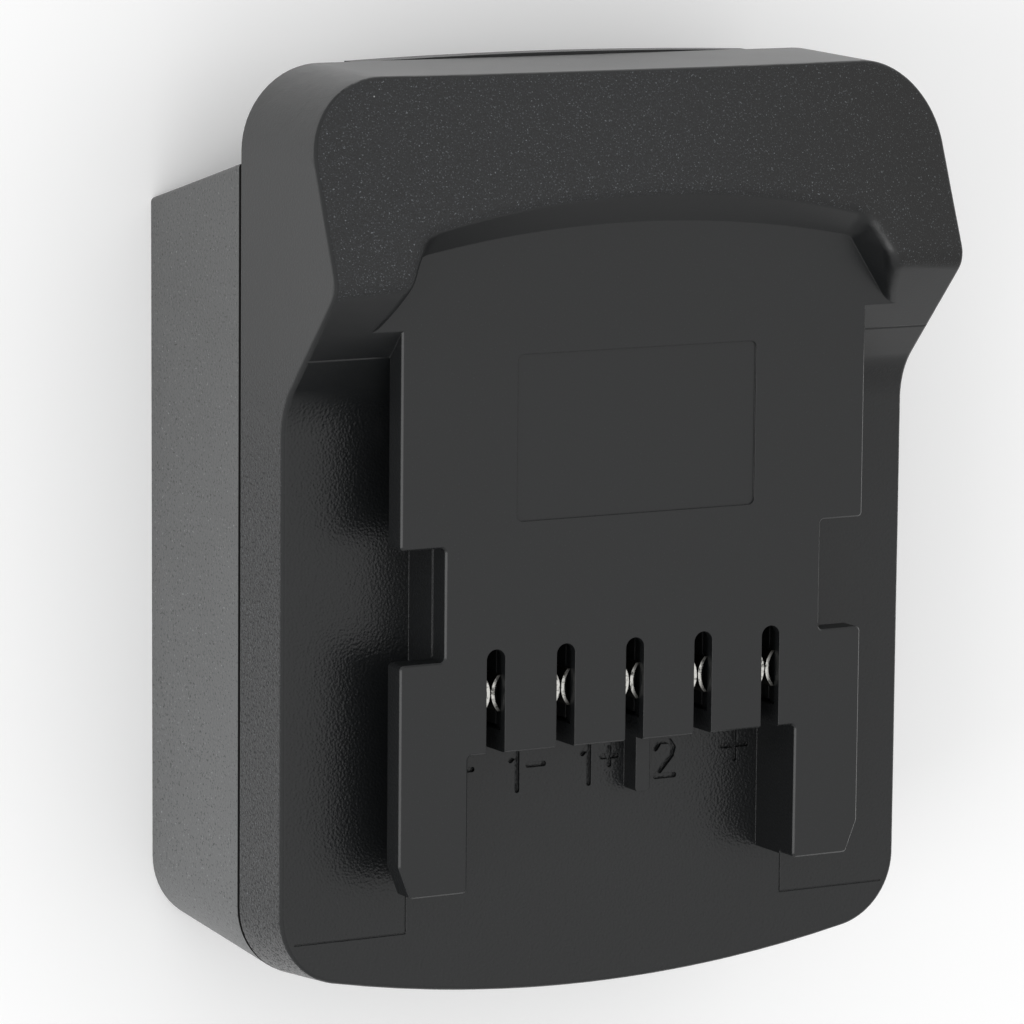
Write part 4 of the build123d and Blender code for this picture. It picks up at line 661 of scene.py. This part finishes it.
# Fuse on the board: a fired ceramic body, cream, between two dipped tin caps.
# The glaze is smooth; the caps are bright and a little uneven where the tin ran.
fuse_finish, tree = blank_finish("glazed_ceramic_with_tin_caps")
place = add(tree, "TexCoord").outputs["Object"]
spot = add(tree, "SeparateXYZ", wires={0: place})
fuse_low, fuse_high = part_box("board_fuse")
fuse_middle = (fuse_low[0] + fuse_high[0]) / 2
fuse_away = add(tree, "Math", {1: fuse_middle}, {0: spot.outputs["X"]}, operation="SUBTRACT")
fuse_end = add(tree, "Math", wires={0: fuse_away.outputs[0]}, operation="ABSOLUTE")
ragged = add(tree, "TexNoise", {"Scale": 1 / (0.9 * mm), "Detail": 1.0}, {"Vector": place})
cap_line = add(tree, "Math", {1: 0.25 * mm}, {0: ragged.outputs["Fac"], 2: fuse_end.outputs[0]},
               operation="MULTIPLY_ADD")
capped = add(tree, "MapRange", {"From Min": 2.45 * mm, "From Max": 2.5 * mm}, {"Value": cap_line.outputs[0]})
fuse_tone = add(tree, "MixRGB", {"Color1": linear("#D9CDB0"), "Color2": linear("#D2D1CC")},
                {"Fac": capped.outputs[0]})
fuse_gloss = add(tree, "MapRange", {"To Min": 0.3, "To Max": 0.26}, {"Value": capped.outputs[0]})
fuse_skin = add(tree, "Bump", {"Strength": 1.0, "Distance": 0.04 * mm}, {"Height": capped.outputs[0]})
fuse_body = add(tree, "BsdfPrincipled", wires={
    "Base Color": fuse_tone.outputs[0], "Metallic": capped.outputs[0], "Roughness": fuse_gloss.outputs[0],
    "Normal": fuse_skin.outputs[0]})
add(tree, "OutputMaterial", wires={"Surface": fuse_body.outputs[0]})
dress(fuse_finish, "board_fuse")


# Capacitor: a low aluminium can rolled on to a black base, with a scored cross that can vent.
# Deep drawing leaves the can softly bright, and the base is plain moulded black.
can_low, can_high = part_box("board_capacitor")
can_x = (can_low[0] + can_high[0]) / 2
can_y = (can_low[1] + can_high[1]) / 2
can_profile = (
    (0.0, 0.0), (2.3, 0.0), (2.36, 0.06), (2.36, 0.4), (2.2, 0.5), (2.2, 0.62), (2.42, 0.74), (2.5, 0.86),
    (2.5, 2.36), (2.44, 2.5), (2.3, 2.58), (2.05, 2.6), (1.92, 2.52), (0.0, 2.52),
)
same_point = 0.001 * mm
can = bmesh.new()
outline = [can.verts.new((can_x + radius * mm, can_y, can_low[2] + height * mm))
           for radius, height in can_profile]
rim = [can.edges.new(pair) for pair in zip(outline, outline[1:])]
bmesh.ops.spin(can, geom=outline + rim, cent=(can_x, can_y, 0), axis=(0, 0, 1), angle=2 * pi, steps=48,
               use_merge=True)
bmesh.ops.remove_doubles(can, verts=can.verts[:], dist=same_point)
score_half = 0.09 * mm
base_height = 0.56 * mm
roof_depth = 0.2 * mm
can_finish, tree = blank_finish("deep_drawn_aluminium_can")
place = add(tree, "TexCoord").outputs["Object"]
spot = add(tree, "SeparateXYZ", wires={0: place})
drawn_up = add(tree, "Mapping", {"Scale": (1.0, 1.0, 0.1)}, {"Vector": place})
lines = add(tree, "TexNoise", {"Scale": 1 / (0.15 * mm), "Detail": 2.0}, {"Vector": drawn_up.outputs[0]})
score_x = add(tree, "Math", {1: can_x, 2: score_half}, {0: spot.outputs["X"]}, operation="COMPARE")
score_y = add(tree, "Math", {1: can_y, 2: score_half}, {0: spot.outputs["Y"]}, operation="COMPARE")
score = add(tree, "Math", wires={0: score_x.outputs[0], 1: score_y.outputs[0]}, operation="MAXIMUM")
roof = add(tree, "Math", {1: can_high[2] - roof_depth}, {0: spot.outputs["Z"]}, operation="GREATER_THAN")
vent = add(tree, "Math", wires={0: score.outputs[0], 1: roof.outputs[0]}, operation="MULTIPLY")
pressed = add(tree, "Math", {1: -0.15}, {0: lines.outputs["Fac"], 2: vent.outputs[0]},
              operation="MULTIPLY_ADD")
can_skin = add(tree, "Bump", {"Strength": 1.0, "Distance": 0.05 * mm}, {"Height": pressed.outputs[0]},
               invert=True)
metal_part = add(tree, "Math", {1: can_low[2] + base_height}, {0: spot.outputs["Z"]},
                 operation="GREATER_THAN")
can_tone = add(tree, "MixRGB", {"Color1": linear("#202021"), "Color2": linear("#C9CACB")},
               {"Fac": metal_part.outputs[0]})
can_gloss = add(tree, "MapRange", {"To Min": 0.5, "To Max": 0.3}, {"Value": metal_part.outputs[0]})
can_body = add(tree, "BsdfPrincipled", wires={
    "Base Color": can_tone.outputs[0], "Metallic": metal_part.outputs[0], "Roughness": can_gloss.outputs[0],
    "Normal": can_skin.outputs[0]})
add(tree, "OutputMaterial", wires={"Surface": can_body.outputs[0]})
capacitor_can = settle(can, "drawn_capacitor_can", can_finish)
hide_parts("board_capacitor")


# Leads: stranded copper in extruded PVC, red and black for power and yellow for the signals.
# Extrusion leaves a soft even gloss with faint lengthwise draw lines.
def extruded_pvc(name, tones):
    """Coloured PVC insulation, smooth with faint lines along its run."""
    finish, tree = blank_finish(name)
    place = add(tree, "TexCoord").outputs["Object"]
    drawn = add(tree, "Mapping", {"Scale": (1.0, 0.05, 1.0)}, {"Vector": place})
    lines = add(tree, "TexNoise", {"Scale": 1 / (0.2 * mm), "Detail": 1.0}, {"Vector": drawn.outputs[0]})
    cloud = add(tree, "TexNoise", {"Scale": 1 / (3 * mm), "Detail": 2.0}, {"Vector": place})
    tone = add(tree, "MixRGB", {"Color1": linear(tones[0]), "Color2": linear(tones[1])},
               {"Fac": cloud.outputs["Fac"]})
    skin = add(tree, "Bump", {"Strength": 1.0, "Distance": 0.01 * mm}, {"Height": lines.outputs["Fac"]})
    sheath = add(tree, "BsdfPrincipled", {"IOR": 1.53, "Roughness": 0.38},
                 {"Base Color": tone.outputs[0], "Normal": skin.outputs[0]})
    add(tree, "OutputMaterial", wires={"Surface": sheath.outputs[0]})
    return finish


dress(extruded_pvc("red_pvc_insulation", ("#8F1411", "#A61C17")), "lead_positive")
dress(extruded_pvc("black_pvc_insulation", ("#161617", "#1F1F20")), "lead_negative")
dress(extruded_pvc("yellow_pvc_insulation", ("#C99A14", "#D6A81E")), "signal_leads")


# Solder joints: where the three inner clip tails come through the board, on its lower face.
# Tin solder draws up each tail in a hollow cone, and freezes bright.
board_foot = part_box("circuit_board")[0][2]
clip_pitch = 8.3 * mm
tail_line = -12 * mm
cone_profile = ((1.15, 0.0), (1.1, 0.05), (0.8, 0.14), (0.6, 0.32), (0.5, 0.62), (0.3, 0.8), (0.0, 0.84))
cone_sides = 24
joints = bmesh.new()
for tail_x in (-clip_pitch, 0.0, clip_pitch):
    flow = [joints.verts.new((tail_x + radius * mm, tail_line, board_foot - drop * mm))
            for radius, drop in cone_profile]
    skin_line = [joints.edges.new(pair) for pair in zip(flow, flow[1:])]
    bmesh.ops.spin(joints, geom=flow + skin_line, cent=(tail_x, tail_line, 0), axis=(0, 0, 1),
                   angle=2 * pi, steps=cone_sides, use_merge=True)
bmesh.ops.remove_doubles(joints, verts=joints.verts[:], dist=same_point)
bmesh.ops.holes_fill(joints, edges=[edge for edge in joints.edges if edge.is_boundary], sides=30)
frozen = bare_metal("frozen_tin_solder", ("#B9BAB8", "#C8C9C7"), (0.16, 0.28),
                    line=0.4, depth=0.004, edge_radius=0.03)
settle(joints, "tail_solder_joints", frozen, smooth=60)


# Screws: thread-cutting pan heads with a cross recess, the two long pairs from the pack side.
# Carbon steel, cold headed and rolled, with black zinc plating that wears a little bright.
black_zinc = bare_metal("black_zinc_plated_steel", ("#4B4C4E", "#5C5D5F"), (0.3, 0.42),
                        line=0.15, depth=0.002, edge_radius=0.12)
dress(black_zinc, "housing_screws", "carrier_screws", "latch_plate_screws", "board_screws", "block_screws")
